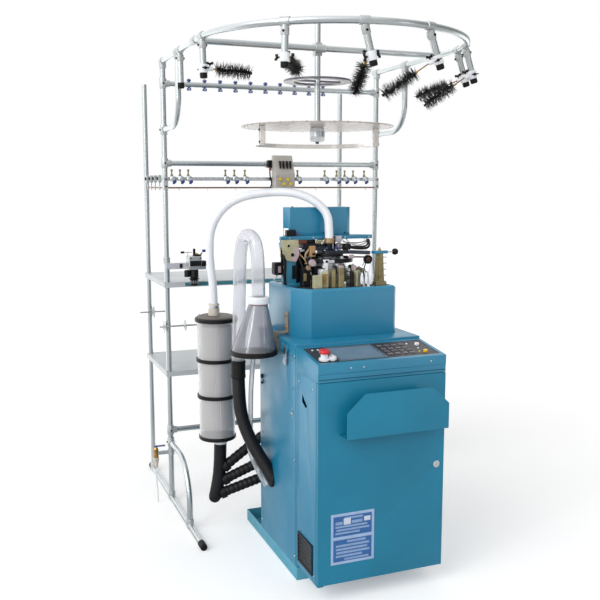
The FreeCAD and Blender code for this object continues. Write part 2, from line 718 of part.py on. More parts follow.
def selector_blocks():
    """Needle selector units: a housing with a stack of levers that point at the cylinder."""
    units = []
    levers = 5
    pitch = 9.6
    low = BED_Z + 10
    high = low + levers * pitch + 4
    far = SELECTOR_REACH + 52
    for angle in SELECTOR_ANGLES:
        outline = [(far, high), (far, BED_Z), (far - 30, BED_Z), (far - 30, low)]
        for number in range(levers):
            z = low + number * pitch
            outline += [(SELECTOR_REACH + 8, z + 3), (SELECTOR_REACH, z + 4.5), (SELECTOR_REACH, z + 7),
                        (SELECTOR_REACH + 26, z + pitch)]
        outline.append((SELECTOR_REACH + 26, high))
        unit = front_profile(outline, -14, 14)
        unit.rotate(V(0, 0, 0), UP, angle)
        units.append(unit)
    return group(units)


SELECTOR_REACH = CAM_OUTER + 4.0
SELECTOR_ANGLES = (0.0, -60.0, -120.0)


def dial():
    """Slotted dial with its hollow shaft, running just above the cylinder."""
    z0 = CYLINDER_TOP + DIAL_LIFT + NEEDLE_RISE
    plate = slab(slotted_outline(DIAL_R, 6.0, 3.0), z0, z0 + DIAL_THICK)
    shaft = bar(V(0, 0, z0 + DIAL_THICK), V(0, 0, ARM_TOP - 1), DIAL_SHAFT_R, 12)
    return fuse([plate, shaft])


ARM_LOW = CYLINDER_TOP + 20.0
ARM_TOP = ARM_LOW + 22.0
NOZZLE_TOP = ARM_TOP + 24.0
NOZZLE_R = 15.0


def dial_arm():
    """Cast arm under the head plate: dial cap, shaft bearing, hose nozzle and finger block."""
    rib = (PLATE_FRONT + 11, PLATE_FRONT + 35)
    outline = [
        (-ARM_HALF, ARM_LOW), (rib[1], ARM_LOW), (rib[1], PLATE_Z), (rib[0], PLATE_Z),
        (rib[0], ARM_TOP), (-ARM_HALF, ARM_TOP),
    ]
    arm = side_profile(outline, -ARM_HALF, ARM_HALF)
    cap = bar(V(0, 0, ARM_LOW - 4), V(0, 0, ARM_LOW + 6), 58.0, HEAD_SIDES)
    nozzle = bar(V(0, 0, ARM_TOP), V(0, 0, NOZZLE_TOP), NOZZLE_R, 12)
    bore = hole(V(0, 0, ARM_LOW - 8), V(0, 0, NOZZLE_TOP + 1), DIAL_SHAFT_R, 12)
    shelf = box(FINGER_PIVOT - 16, -ARM_HALF, -22, rib[1], FINGER_Z - 4, FINGER_Z + 12)
    fork = []
    for number in range(FINGER_COUNT + 1):
        y = FINGER_Y + (number - 0.5) * FINGER_PITCH
        fork.append(box(FINGER_PIVOT - 8, FINGER_PIVOT + 8, y - 2, y + 2, FINGER_Z - 18, FINGER_Z - 4))
    pin_start = V(FINGER_PIVOT, FINGER_Y - 0.5 * FINGER_PITCH, FINGER_Z - 12)
    pin_end = V(FINGER_PIVOT, FINGER_Y + (FINGER_COUNT - 0.5) * FINGER_PITCH, FINGER_Z - 12)
    return fuse([arm, cap, nozzle, shelf, bar(pin_start, pin_end, FINGER_PIN_R, 8)] + fork).cut(bore)


FINGER_PIVOT = -104.0
FINGER_PIN_R = 2.0
FINGER_Y = -12.0
FINGER_Z = ARM_TOP + 10.0


def yarn_finger(number):
    """A yarn finger: a lever on the fork's pin whose eye lies over the needles."""
    y = FINGER_Y + number * FINGER_PITCH
    pivot = V(FINGER_PIVOT, y, FINGER_Z - 12)
    outline = [
        (pivot.x - 22, pivot.z + 5), (pivot.x - 22, pivot.z - 1), (pivot.x - 5, pivot.z - 5),
        (pivot.x + 30, pivot.z - 24), (pivot.x + 38, pivot.z - 24), (pivot.x + 38, pivot.z - 20),
        (pivot.x + 6, pivot.z + 4),
    ]
    lever = front_profile(outline, y - FINGER_WIDTH / 2, y + FINGER_WIDTH / 2)
    return lever.cut(hole(pivot - BACK * 5, pivot + BACK * 5, FINGER_PIN_R, 8))


def head_plate():
    """The plate that carries the dial arm and the cover, hinged on the left column."""
    outline = [
        (PLATE_LEFT, PLATE_FRONT), (PLATE_RIGHT, PLATE_FRONT), (PLATE_RIGHT, PLATE_FRONT + 22),
        (COVER_RIGHT + 6, PLATE_REAR), (COVER_LEFT_REAR, PLATE_REAR), (PLATE_LEFT + 21, PLATE_FRONT + 35),
        (PLATE_LEFT, PLATE_FRONT + 21),
    ]
    plate = slab(outline, PLATE_Z, PLATE_Z + PLATE_THICK)
    lug = box(HEAD_PIN_X - 12, HEAD_PIN_X + 12, PLATE_FRONT, PLATE_FRONT + 20, HEAD_PIN_Z - 12, PLATE_Z)
    bore = hole(V(HEAD_PIN_X, PLATE_FRONT - 1, HEAD_PIN_Z), V(HEAD_PIN_X, PLATE_REAR + 1, HEAD_PIN_Z), HEAD_PIN_R, 8)
    return fuse([plate, lug]).cut(bore)


def cover_outline(inset):
    return [
        (COVER_LEFT_REAR + 1.2 * inset, COVER_REAR + 1 if inset else COVER_REAR),
        (COVER_LEFT + 1.2 * inset, COVER_FRONT + 20 + 0.3 * inset), (COVER_LEFT + 23 + 0.4 * inset, COVER_FRONT + inset),
        (COVER_RIGHT - 20, COVER_FRONT + inset),
        (COVER_RIGHT - inset, COVER_FRONT + 16), (COVER_RIGHT - inset, COVER_REAR + 1 if inset else COVER_REAR),
    ]


def head_cover():
    """Folded guard behind the dial: front, two sides and a top, open at the back."""
    low = PLATE_Z + PLATE_THICK
    top = low + COVER_HEIGHT
    shell = slab(cover_outline(0), low, top).cut(slab(cover_outline(SHEET), low - 1, top - SHEET))
    notch = box(COVER_LEFT - 1, COVER_LEFT + 18, COVER_FRONT, COVER_REAR - 14, low - 1, low + 31)
    return shell.cut(notch)


def left_column():
    """Column at the head's left, with a foot flange on the bed."""
    x0, x1 = COLUMN_X
    shaft = box(x0, x1, COLUMN_FRONT, COLUMN_REAR, BED_Z + 8, COLUMN_TOP - 20)
    window = box(x0 - 1, x1 + 1, COLUMN_FRONT + 16, COLUMN_REAR - 15, BED_Z + 30, COLUMN_TOP - 46)
    head = box(x0, x1 - 14, COLUMN_FRONT, COLUMN_REAR, COLUMN_TOP - 20, COLUMN_TOP)
    foot = box(x0 + 4, x1 + 22, COLUMN_FRONT - 6, COLUMN_REAR + 6, BED_Z, BED_Z + 8)
    return fuse([shaft.cut(window), head, foot])


COLUMN_X = (-190.0, -146.0)


def hinge_bracket():
    """Cast cheek before the column and low boss behind it, and the pin that the head plate turns on."""
    front, rear = COLUMN_FRONT - CHEEK, COLUMN_REAR + CHEEK
    cheek = front_profile([
        (HEAD_PIN_X - 28, PLATE_Z + 4), (HEAD_PIN_X + 42, PLATE_Z + 5), (HEAD_PIN_X + 48, HEAD_PIN_Z - 36),
        (HEAD_PIN_X + 32, HEAD_PIN_Z - 66), (HEAD_PIN_X - 6, HEAD_PIN_Z - 58), (HEAD_PIN_X - 20, HEAD_PIN_Z - 32),
    ], front, COLUMN_FRONT)
    boss = front_profile([
        (HEAD_PIN_X - 13, HEAD_PIN_Z + 8), (HEAD_PIN_X + 13, HEAD_PIN_Z + 8), (HEAD_PIN_X + 20, HEAD_PIN_Z - 30),
        (HEAD_PIN_X + 14, HEAD_PIN_Z - 52), (HEAD_PIN_X - 6, HEAD_PIN_Z - 52), (HEAD_PIN_X - 6, HEAD_PIN_Z - 30),
    ], COLUMN_REAR, rear)
    pin = bar(V(HEAD_PIN_X, front - 4, HEAD_PIN_Z), V(HEAD_PIN_X, rear + 4, HEAD_PIN_Z), HEAD_PIN_R, 8)
    low = V(HEAD_PIN_X + 16, front, HEAD_PIN_Z - 36)
    screw = bar(low - BACK * 4, low, 7.0, 6)
    return fuse([cheek, boss, pin, screw])


CHEEK = 12.0


def right_bracket():
    """Ribbed cast post at the right front of the bed, under the locking lever."""
    foot = box(BRACKET_X - 24, BRACKET_X + 22, BRACKET_Y - 24, BRACKET_Y + 24, BED_Z, BED_Z + 14)
    outline = [(-20, BED_Z + 14), (20, BED_Z + 14), (14, BRACKET_TOP), (-14, BRACKET_TOP)]
    web = front_profile([(BRACKET_X + x, z) for x, z in outline], BRACKET_Y - 7, BRACKET_Y + 7)
    post = box(BRACKET_X - 8, BRACKET_X + 8, BRACKET_Y - 18, BRACKET_Y + 18, BED_Z + 14, BRACKET_TOP)
    return fuse([foot, web, post])


def lock_lever():
    """Flat lever with a turned rod, pivoting on the right post."""
    z = BRACKET_TOP + SEAT
    outline = [
        (BRACKET_X - 30, BRACKET_Y + 12), (BRACKET_X - 24, BRACKET_Y - 14),
        (BRACKET_X + 34, BRACKET_Y - 9), (BRACKET_X + 34, BRACKET_Y + 7),
    ]
    blade = slab(outline, z, z + 12)
    rod = bar(V(BRACKET_X + 34, BRACKET_Y, z + 6), V(BRACKET_X + 58, BRACKET_Y, z + 6), 3.0, 8)
    bolt = bar(V(BRACKET_X, BRACKET_Y, z + 12), V(BRACKET_X, BRACKET_Y, z + 18), 7.0, 6)
    return fuse([blade, rod, bolt])


def lever_knob():
    z = BRACKET_TOP + SEAT + 6
    centre = BRACKET_X + 58
    rings = []
    for offset, radius in ((0.0, 6.0), (5.0, 11.0), (12.0, 13.0), (19.0, 11.0), (24.0, 6.0)):
        rings.append(ngon(V(centre + offset, BRACKET_Y, z), RIGHT, radius, 8))
    return skin(rings)


# ================================================================ creel
def creel_posts():
    posts = []
    for x in (LEFT_POST, RIGHT_POST):
        posts.append(bar(V(x, POST_FRONT, FOOT_Z + TUBE_R), V(x, POST_FRONT, RING_Z - TUBE_R), TUBE_R))
        posts.append(bar(V(x, POST_REAR, FOOT_Z + TUBE_R), V(x, POST_REAR, REAR_POST_TOP), TUBE_R))
    return group(posts)


FOOT_Z = CAP_R


def creel_rails():
    """Foot rails along the floor, cross rails between the front posts, and the chord rail."""
    rails = []
    for x in (LEFT_POST, RIGHT_POST):
        rails.append(bar(V(x, FOOT_FRONT, FOOT_Z), V(x, FOOT_REAR, FOOT_Z), TUBE_R))
    left = LEFT_POST + TUBE_R
    right = RIGHT_POST - TUBE_R
    for y, z in ((POST_FRONT, TOP_RAIL_Z), (POST_FRONT, MIDDLE_RAIL_Z), (POST_FRONT, LOWER_RAIL_Z),
                 (CHORD_Y, RING_Z)):
        rails.append(bar(V(left, y, z), V(right, y, z), TUBE_R))
    return group(rails)


def corner_stays():
    """Bent tubes: a stay from each front post to its foot rail, a brace up to the ring."""
    tubes = []
    for x in (LEFT_POST, RIGHT_POST):
        stay = [V(x, POST_FRONT - TUBE_R, STAY_TOP), V(x, STAY_FRONT, STAY_TOP), V(x, STAY_FRONT, FOOT_Z + TUBE_R)]
        brace = [V(x, POST_FRONT - TUBE_R, BRACE_LOW), V(x, BRACE_FRONT, BRACE_LOW),
                 V(x, BRACE_FRONT, RING_Z - TUBE_R)]
        radius = even(TUBE_R, BENT_SIDES)
        tubes.append(bent(stay, radius, [STAY_BEND], BENT_SIDES, HOSE_STEP))
        tubes.append(bent(brace, radius, [BRACE_BEND], BENT_SIDES, HOSE_STEP))
    return group(tubes)


def ring_tube():
    """Top ring: a half circle in front, its arms running back over both front posts."""
    end = POST_FRONT + TUBE_R
    front = RING_Y - CREEL_HALF
    points = [V(LEFT_POST, end, RING_Z), V(LEFT_POST, front, RING_Z), V(RIGHT_POST, front, RING_Z),
              V(RIGHT_POST, end, RING_Z)]
    almost = CREEL_HALF - 0.05
    return bent(points, even(TUBE_R, BENT_SIDES), [almost, almost], BENT_SIDES, RING_STEP)


# angle round the ring's centre, how far the tube's foot leans to the right, and where the tip of
# the brush that it carries lies from its clamp
HANGERS = (
    (180.0, 2.0, None), (184.0, 4.0, (191.7, 9.0, -7.2)),
    (230.0, -2.0, (117.2, 178.0, -16.2)), (259.0, 38.0, (11.5, 162.3, -108.9)),
    (287.0, 50.0, (-156.4, 118.8, -117.4)), (336.0, 48.0, (-192.3, 37.6, -124.0)),
    (349.0, 50.0, (-215.7, 13.1, -81.4)),
)
HANGER_DROP = 138.0
HANGER_ARM_Y = 340.0
CLAMP_DROP = 104.0


def hanger_top(number):
    angle = math.radians(HANGERS[number][0])
    x = CREEL_X + CREEL_HALF * math.cos(angle)
    y = RING_Y + CREEL_HALF * math.sin(angle)
    if number == 0:
        y = HANGER_ARM_Y
    return V(x, y, RING_Z - TUBE_R - SEAT)


def hanger_way(number):
    return V(HANGERS[number][1], 0, -HANGER_DROP).normalize()


def ring_hangers():
    """Drop tubes under the ring; they carry the yarn brushes."""
    solids = []
    for number in range(len(HANGERS)):
        top = hanger_top(number)
        way = hanger_way(number)
        length = HANGER_DROP - TUBE_R
        tube = bar(top - way * 8, top + way * length, TUBE_R, 8)
        tube = tube.cut(box(top.x - 40, top.x + 40, top.y - 40, top.y + 40, top.z, top.z + 40))
        solids.append(tube)
    return group(solids)


def tube_caps():
    """Black rubber plugs on the foot rails' ends and on the lower ends of the drop tubes."""
    caps = []
    for x in (LEFT_POST, RIGHT_POST):
        for y, way in ((FOOT_FRONT, -1), (FOOT_REAR, 1)):
            start = V(x, y, FOOT_Z)
            caps.append(bar(start, start + BACK * (way * CAP_LENGTH), CAP_R, 6))
    for number in range(len(HANGERS)):
        end = hanger_top(number) + hanger_way(number) * (HANGER_DROP - TUBE_R)
        caps.append(bar(end, end + hanger_way(number) * 14, TUBE_R + 1.5, 6))
    return group(caps)


BRISTLE_LENGTH = 138.0
BRISTLE_R = 24.0
BRISTLE_CORE = 9.0
BRISTLE_POINTS = 5


def brushes():
    """Yarn brushes: a clamp at the drop tube, a wire rod and a sleeve of bristles at its end."""
    solids = []
    for number, (angle, lean, reach) in enumerate(HANGERS):
        if reach is None:
            continue
        clamp = hanger_top(number) + hanger_way(number) * CLAMP_DROP
        end = clamp + V(*reach)
        away = end - clamp
        away = (away - hanger_way(number) * away.dot(hanger_way(number))).normalize()
        tube = ngon(clamp, hanger_way(number), TUBE_R, 8)
        face = max((corner - clamp).dot(away) for corner in tube)
        grip = bar(clamp + away * (face + SEAT), clamp + away * (TUBE_R + 24), 10.0, 4)
        start = clamp + away * (TUBE_R + 14)
        way = (end - start).normalize()
        root = end - way * (BRISTLE_LENGTH + 6)
        rod = bar(start, root + way * 6, 2.5, 4)
        star = []
        inner = ngon(root, way, BRISTLE_CORE, 2 * BRISTLE_POINTS)
        outer = ngon(root, way, BRISTLE_R, 2 * BRISTLE_POINTS)
        for corner in range(2 * BRISTLE_POINTS):
            star.append(outer[corner] if corner % 2 else inner[corner])
        solids.append(fuse([grip, rod, polygon(star).extrude(way * BRISTLE_LENGTH)]))
    return group(solids)


def yarn_guides():
    """Blue eyelets above and below the top rail, and the tension units on the pin bar."""
    solids = []
    for number in range(EYELETS):
        x = EYELET_X + number * EYELET_PITCH
        for way in (1, -1):
            z = TOP_RAIL_Z + way * (TUBE_R + 7)
            solids.append(box(x - 7, x + 7, POST_FRONT - 6, POST_FRONT + 6, min(z - 7 * way, z + 7 * way),
                              max(z - 7 * way, z + 7 * way)))
    for x in TENSION_X:
        solids.append(box(x - 8, x + 8, BAR_Y - 20, BAR_Y, PIN_BAR_Z - 10, PIN_BAR_Z + 12))
        solids.append(bar(V(x, BAR_Y - 30, PIN_BAR_Z), V(x, BAR_Y - 20, PIN_BAR_Z), 15.0, 8))
    return group(solids)


EYELETS = 10
EYELET_X = LEFT_POST + 119.0
EYELET_PITCH = 73.0
TENSION_X = (LEFT_POST + 66.0, LEFT_POST + 322.0, LEFT_POST + 777.0, LEFT_POST + 883.0, LEFT_POST + 988.0)
BAR_Y = POST_FRONT - TUBE_R - 8.0
BAR_THICK = 4.0


def pin_rail():
    """Flat bar and thin rod between end brackets on the front posts, with hanging pins."""
    low = PIN_ROD_Z - 8
    high = PIN_BAR_Z + 9
    left = LEFT_POST + 2
    right = RIGHT_POST - 2
    flat = box(left, right, BAR_Y, BAR_Y + BAR_THICK, PIN_BAR_Z - 8, PIN_BAR_Z + 8)
    rod = bar(V(left, BAR_Y + 2, PIN_ROD_Z), V(right, BAR_Y + 2, PIN_ROD_Z), 3.5, 6)
    ends = []
    for x in (LEFT_POST, RIGHT_POST):
        ends.append(box(x - 10, x + 10, BAR_Y - 3, POST_FRONT - TUBE_R, low, high))
    pins = []
    for number in range(PIN_COUNT):
        x = LEFT_POST + 60 + number * (2 * CREEL_HALF - 120) / (PIN_COUNT - 1)
        pins.append(box(x - 2, x + 2, BAR_Y, BAR_Y + 4, PIN_ROD_Z - 14, PIN_ROD_Z))
    return fuse([flat, rod] + ends + pins)


PIN_COUNT = 8


def shelves():
    """Folded sheet shelves, notched round the four posts, with turned-down lips."""
    trays = []
    x0 = LEFT_POST - SHELF_OVERHANG
    x1 = RIGHT_POST + SHELF_OVERHANG
    y0 = POST_FRONT - SHELF_OVERHANG
    y1 = POST_REAR + SHELF_OVERHANG
    for z in (SHELF_UPPER, SHELF_LOWER):
        tray = box(x0, x1, y0, y1, z - SHELF_LIP, z)
        tray = tray.cut(box(x0 + SHEET, x1 - SHEET, y0 + SHEET, y1 - SHEET, z - SHELF_LIP - 1, z - SHEET))
        for x in (LEFT_POST, RIGHT_POST):
            for y in (POST_FRONT, POST_REAR):
                notch = TUBE_R + SEAT
                tray = tray.cut(box(x - notch, x + notch, y - notch, y + notch, z - SHELF_LIP, z + 1))
        trays.append(tray)
    return group(trays)


def disc_tube():
    """Vertical tube clamped to the chord rail; its hub holds the clear disc."""
    tube = bar(V(DISC_X, DISC_Y, DISC_Z), V(DISC_X, DISC_Y, DISC_TOP), TUBE_R)
    hub = bar(V(DISC_X, DISC_Y, DISC_Z - 58), V(DISC_X, DISC_Y, DISC_Z), 30.0, 12)
    screw = bar(V(DISC_X, DISC_Y, DISC_Z - 66), V(DISC_X, DISC_Y, DISC_Z - 58), 7.0, 6)
    half = TUBE_R + 3
    clamp = box(DISC_X - 16, DISC_X + 16, CHORD_Y + TUBE_R, DISC_Y + half, RING_Z - 26, RING_Z + 26)
    return fuse([tube, hub, screw, clamp])


def yarn_discs():
    """Clear guide disc with thread holes, the half hoop hung under it, and the guide ring."""
    top = DISC_Z + DISC_PLATE
    plate = bar(V(DISC_X, DISC_Y, DISC_Z), V(DISC_X, DISC_Y, top), DISC_R, 32)
    plate = plate.cut(bar(V(DISC_X, DISC_Y, DISC_Z - 1), V(DISC_X, DISC_Y, top + 1), TUBE_R + SEAT, TUBE_SIDES))
    outline = []
    for radius, turn in ((HOOP_R, 1), (HOOP_R - HOOP_WALL, -1)):
        steps = [HOOP_START + (HOOP_END - HOOP_START) * number / HOOP_STEPS for number in range(HOOP_STEPS + 1)]
        for angle in steps[::turn]:
            x = DISC_X + radius * math.cos(math.radians(angle))
            y = DISC_Y + radius * math.sin(math.radians(angle))
            outline.append((x, y))
    hoop = slab(outline, HOOP_Z - HOOP_HEIGHT / 2, HOOP_Z + HOOP_HEIGHT / 2)
    lugs = []
    for angle in (HOOP_START, HOOP_END):
        lug = box(HOOP_R - 16, HOOP_R + 6, -9, 9, HOOP_Z - HOOP_HEIGHT / 2, DISC_Z)
        lug.rotate(V(0, 0, 0), UP, angle)
        lug.translate(V(DISC_X, DISC_Y, 0))
        lugs.append(lug)
    guide = sleeve(V(DISC_X, DISC_Y, GUIDE_Z), V(DISC_X, DISC_Y, GUIDE_Z + 8), GUIDE_R, GUIDE_R - 42, 20)
    spokes = []
    for way in (-1, 1):
        edge = DISC_X + way * (TUBE_R + SEAT)
        far = DISC_X + way * (GUIDE_R - 38)
        spokes.append(box(min(edge, far), max(edge, far), DISC_Y - 9, DISC_Y + 9, GUIDE_Z, GUIDE_Z + 8))
    ring = fuse([guide] + spokes)
    return group([fuse([plate, hoop] + lugs), ring])


DISC_PLATE = 5.0
HOOP_WALL = 3.0
HOOP_HEIGHT = 18.0
HOOP_START = -8.0
HOOP_END = 188.0
HOOP_STEPS = 12


def stop_box():
    """Yarn stop box on the middle rail: sloped face with four slots, lamps below."""
    outline = [
        (BOX_REAR, BOX_Z + 154), (BOX_FRONT + 40, BOX_Z + 154), (BOX_FRONT + 4, BOX_Z + 70), (BOX_FRONT, BOX_Z + 66),
        (BOX_FRONT, BOX_Z), (BOX_REAR, BOX_Z),
    ]
    case = side_profile(outline, BOX_X, BOX_X + BOX_WIDTH)
    slots = []
    for number in range(4):
        x = BOX_X + 24 + number * 17
        slots.append(box(x, x + 6, BOX_FRONT - 1, BOX_FRONT + 24, BOX_Z + 92, BOX_Z + 128))
    lamps = []
    for dx, dz in ((22, 42), (60, 42), (40, 20), (74, 20)):
        start = V(BOX_X + dx, BOX_FRONT, BOX_Z + dz)
        lamps.append(bar(start - BACK * 8, start, 9.0, 6))
    grip = box(BOX_X - 20, BOX_X, POST_FRONT - 34, POST_FRONT - TUBE_R, MIDDLE_RAIL_Z - 18, MIDDLE_RAIL_Z + 18)
    solid = case
    for slot in slots:
        solid = solid.cut(slot)
    return fuse([solid, grip] + lamps)


BOX_X = CREEL_X - 26.0
BOX_WIDTH = 96.0
BOX_FRONT = POST_FRONT - 84.0
BOX_Z = MIDDLE_RAIL_Z - 114.0
BOX_REAR = POST_FRONT - TUBE_R - 12.0


def feeder_body():
    """Elastic feeder on an arm from the left front post."""
    arm = box(LEFT_POST - 9, FEEDER_X - 30, POST_FRONT - TUBE_R - 16, POST_FRONT - TUBE_R,
              FEEDER_Z + 26, FEEDER_Z + 50)
    case = box(FEEDER_X - 30, FEEDER_X + 30, POST_FRONT - 78, POST_FRONT - TUBE_R, FEEDER_Z, FEEDER_Z + 60)
    base = bar(V(FEEDER_X, FEEDER_Y, FEEDER_Z - 42), V(FEEDER_X, FEEDER_Y, FEEDER_Z), 20.0, 8)
    arch = box(FEEDER_X - 6, FEEDER_X + 6, POST_FRONT - 60, POST_FRONT - 48, FEEDER_Z + 60, FEEDER_Z + 94)
    return fuse([arm, case, base, arch])


FEEDER_X = LEFT_POST + 116.0
FEEDER_Z = 1112.0     # underside of its housing
FEEDER_Y = POST_FRONT - 46.0


def feeder_wheel():
    """Feed wheel under the feeder's motor, with a waist for the elastic yarn."""
    profile = [(24.0, 76.0), (24.0, 72.0), (15.0, 66.0), (15.0, 52.0), (24.0, 46.0), (24.0, 42.0 + SEAT)]
    return turned(FEEDER_X, FEEDER_Y, [(radius, FEEDER_Z - drop) for radius, drop in profile], 12)


def spool_discs():
    """Two holder rods on the left posts, with clear flange discs threaded on them."""
    solids = []
    for start, end, discs in SPOOL_RODS:
        way = (end - start).normalize()
        pieces = [bar(start, end, 4.0, 6)]
        for place, radius in discs:
            at = start + way * place
            pieces.append(bar(at, at + way * 6, radius, 12))
        solids.append(fuse(pieces))
    return group(solids)


SPOOL_RODS = (
    (V(LEFT_POST - 44, POST_FRONT - 17, 846), V(LEFT_POST + 178, POST_FRONT - 17, 846),
     ((18.0, 26.0), (118.0, 26.0), (186.0, 52.0))),
    (V(LEFT_POST - 54, POST_REAR - 17, 850), V(LEFT_POST + 80, POST_REAR - 17, 850), ((69.0, 30.0),)),
)


def air_valve():
    """Brass shut-off valve clamped outside the left front post, with a filter cone below."""
    clamp = box(LEFT_POST - 60, LEFT_POST - TUBE_R, POST_FRONT - 9, POST_FRONT + 9, 232, 250)
    x = LEFT_POST - 72
    body = bar(V(x, POST_FRONT, 220), V(x, POST_FRONT, 272), 12.0, 8)
    cone = turned(x, POST_FRONT, [(8.0, 172.0), (16.0, 220.0)], 8)
    return fuse([clamp, body, cone])


def valve_lever():
    z = 272.0 + SEAT
    x = LEFT_POST - 72
    outline = [(x - 10, POST_FRONT - 8), (x + 44, POST_FRONT - 8), (x + 44, POST_FRONT + 6), (x - 10, POST_FRONT + 8)]
    return slab(outline, z, z + 5)


# ================================================================ suction side
def can_radius(z):
    share = (z - CAN_BOTTOM) / (CAN_TOP - CAN_BOTTOM)
    return CAN_R_BOTTOM + (CAN_R_TOP - CAN_R_BOTTOM) * share


def canister_body():
    """Clear filter canister, slightly tapered, open at both ends under lid and base."""
    outer = turned(CAN_X, CAN_Y, [(CAN_R_BOTTOM, CAN_BOTTOM), (CAN_R_TOP, CAN_TOP)], CAN_SIDES)
    inner = turned(CAN_X, CAN_Y, [(CAN_R_BOTTOM - CAN_WALL, CAN_BOTTOM), (CAN_R_TOP - CAN_WALL, CAN_TOP)],
                   CAN_SIDES)
    return outer.cut(inner)


def canister_rings():
    """Black lid with its hose port, two clamp bands, and the dished base with its outlet."""
    rim = CAN_R_TOP + 6
    lid = turned(CAN_X, CAN_Y, [(rim, CAN_TOP + 0.1), (rim, CAN_TOP + 16), (rim - 16, CAN_TOP + 26)], CAN_SIDES)
    port = bar(V(PORT_X, CAN_Y, CAN_TOP + 26), V(PORT_X, CAN_Y, PORT_TOP), 24.0, 12)
    solids = [fuse([lid, port])]
    for z in CAN_BANDS:
        radius = can_radius(z) + SEAT
        band = sleeve(V(CAN_X, CAN_Y, z - 6), V(CAN_X, CAN_Y, z + 6), radius + 5, radius, CAN_SIDES)
        solids.append(band)
    low = CAN_R_BOTTOM + 4
    base = turned(CAN_X, CAN_Y, [(34.0, CAN_BOTTOM - 26), (low, CAN_BOTTOM - 14), (low, CAN_BOTTOM - 0.1)],
                  CAN_SIDES)
    solids.append(base)
    return group(solids)


PORT_TOP = CAN_TOP + 75
CAN_BANDS = (768.0, 612.0)


def suction_hose():
    """White hose from the canister's lid over to the nozzle on the dial arm."""
    points = [V(PORT_X, CAN_Y, PORT_TOP + SEAT), V(PORT_X, CAN_Y, 1068), V(PORT_X - 17, 248, 1200),
              V(PORT_X - 14, 232, 1335), V(PORT_X + 62, 196, 1438), V(-205, 140, 1470), V(-88, 66, 1462),
              V(2, 20, 1392), V(0, 0, NOZZLE_TOP + 38), V(0, 0, NOZZLE_TOP + SEAT)]
    return hose("suction_hose", points, HOSE_R)


def clear_tubes():
    """Clear U tube from the black hose over into the cone, and the thin drain tube behind."""
    top = CONE_X + CONE_LEAN
    over = [V(LEG_X, LEG_Y, CUFF_TOP + 1.5), V(LEG_X + 8, LEG_Y, 1040), V(LEG_X + 14, LEG_Y, 1303),
            V(top - 6, CONE_Y - 4, 1303), V(top, CONE_Y, CONE_TOP + 42), V(top, CONE_Y, CONE_TOP + SEAT)]
    drain = [V(CONE_X + 27, CONE_Y + 86, CONE_BOTTOM - 20 - 4 * SEAT), V(CONE_X + 33, 50, 740),
             V(CONE_X + 36, 80, 640), V(CONE_X + 35, 80, 494), V(CONE_X + 23, 78, 425), V(CONE_X + 50, 58, 336),
             V(-BODY_HALF - 14, 18, 270)]
    return group([hose("u_tube", over, U_TUBE_R), hose("drain", drain, 10.0, 8)])


LEG_X = CONE_X - 27.0
LEG_Y = 42.0
CUFF_TOP = 800.0


def body_hose():
    """Black hose from the cuff on the clear tube down into the body's left side."""
    points = [V(LEG_X, LEG_Y, CUFF_TOP - 40), V(LEG_X + 1, LEG_Y, 640), V(LEG_X + 13, LEG_Y - 8, 552),
              V(-BODY_HALF - 80, 20, 470), V(-BODY_HALF - 36, 8, 384), V(-BODY_HALF + 10, -12, 306)]
    tube = hose("body_hose", points, BLACK_HOSE_R)
    cuff = bar(V(LEG_X, LEG_Y, CUFF_TOP - 70), V(LEG_X, LEG_Y, CUFF_TOP), U_TUBE_R + 4, HOSE_SIDES)
    wall = box(-BODY_HALF - SEAT, 0, -100, 100, 200, 400)
    return fuse([tube, cuff]).cut(wall)


def outlet_hose():
    """Smooth black trunk under the canister, and three ribbed hoses to the blower."""
    points = [V(TRUNK_X, CAN_Y, CAN_BOTTOM - 28), V(TRUNK_X - 2, CAN_Y, 290),
              V(TRUNK_X - 20, CAN_Y, 190), V(TRUNK_X - 28, CAN_Y, 160)]
    rings = sections_along(points, even(TRUNK_R, HOSE_SIDES), bend_radii(points), HOSE_SIDES, HOSE_STEP)
    last = rings[-1]
    end = points[-1]
    way = (end - points[-2]).normalize()
    for along, share in ((12.0, 0.9), (20.0, 0.68), (25.0, 0.3)):
        rings.append([end + way * along + (corner - end) * share for corner in last])
    solids = [skin(rings)]
    for start, high in RIBBED_ENDS:
        end = V(BLOWER_LEFT - SEAT, BLOWER_Y, high)
        solids.append(ribbed(V(TRUNK_X + start[0], CAN_Y, start[1]), end + RIGHT * 30, 22.0, 4.0, 4, 8))
    return fuse(solids).cut(box(end.x, 0, 0, 400, 0, BLOWER_TOP + 40))


TRUNK_R = 27.0
BLOWER_LEFT = -BODY_HALF + 52.0
BLOWER_RIGHT = BODY_HALF - 104.0
BLOWER_Y = 200.0
BLOWER_TOP = 480.0
# where each ribbed hose leaves the trunk (offset to the right, height), and its height at the blower
RIBBED_ENDS = (((-4.0, 277.0), 440.0), ((-10.0, 224.0), 322.0), ((-22.0, 168.0), 246.0))


def blower():
    """Suction blower in its casing, standing in the floor tray behind the body."""
    front = BODY_REAR + 8
    rear = 2 * BLOWER_Y - front
    case = box(BLOWER_LEFT, BLOWER_RIGHT, front, rear, TRAY_SHEET, BLOWER_TOP)
    motor = bar(V(BLOWER_RIGHT, BLOWER_Y, 150), V(BLOWER_RIGHT + 84, BLOWER_Y, 150), 52.0, 16)
    return fuse([case, motor])


def catch_cone():
    """Clear cone that the finished socks drop into, leaning a little to the right."""
    def leaning(inset):
        low = ngon(V(CONE_X, CONE_Y, CONE_BOTTOM), UP, CONE_R_BOTTOM - inset, CONE_SIDES)
        high = ngon(V(CONE_X + CONE_LEAN, CONE_Y, CONE_TOP), UP, CONE_R_TOP - inset, CONE_SIDES)
        return skin([low, high])

    return leaning(0.0).cut(leaning(CONE_WALL))


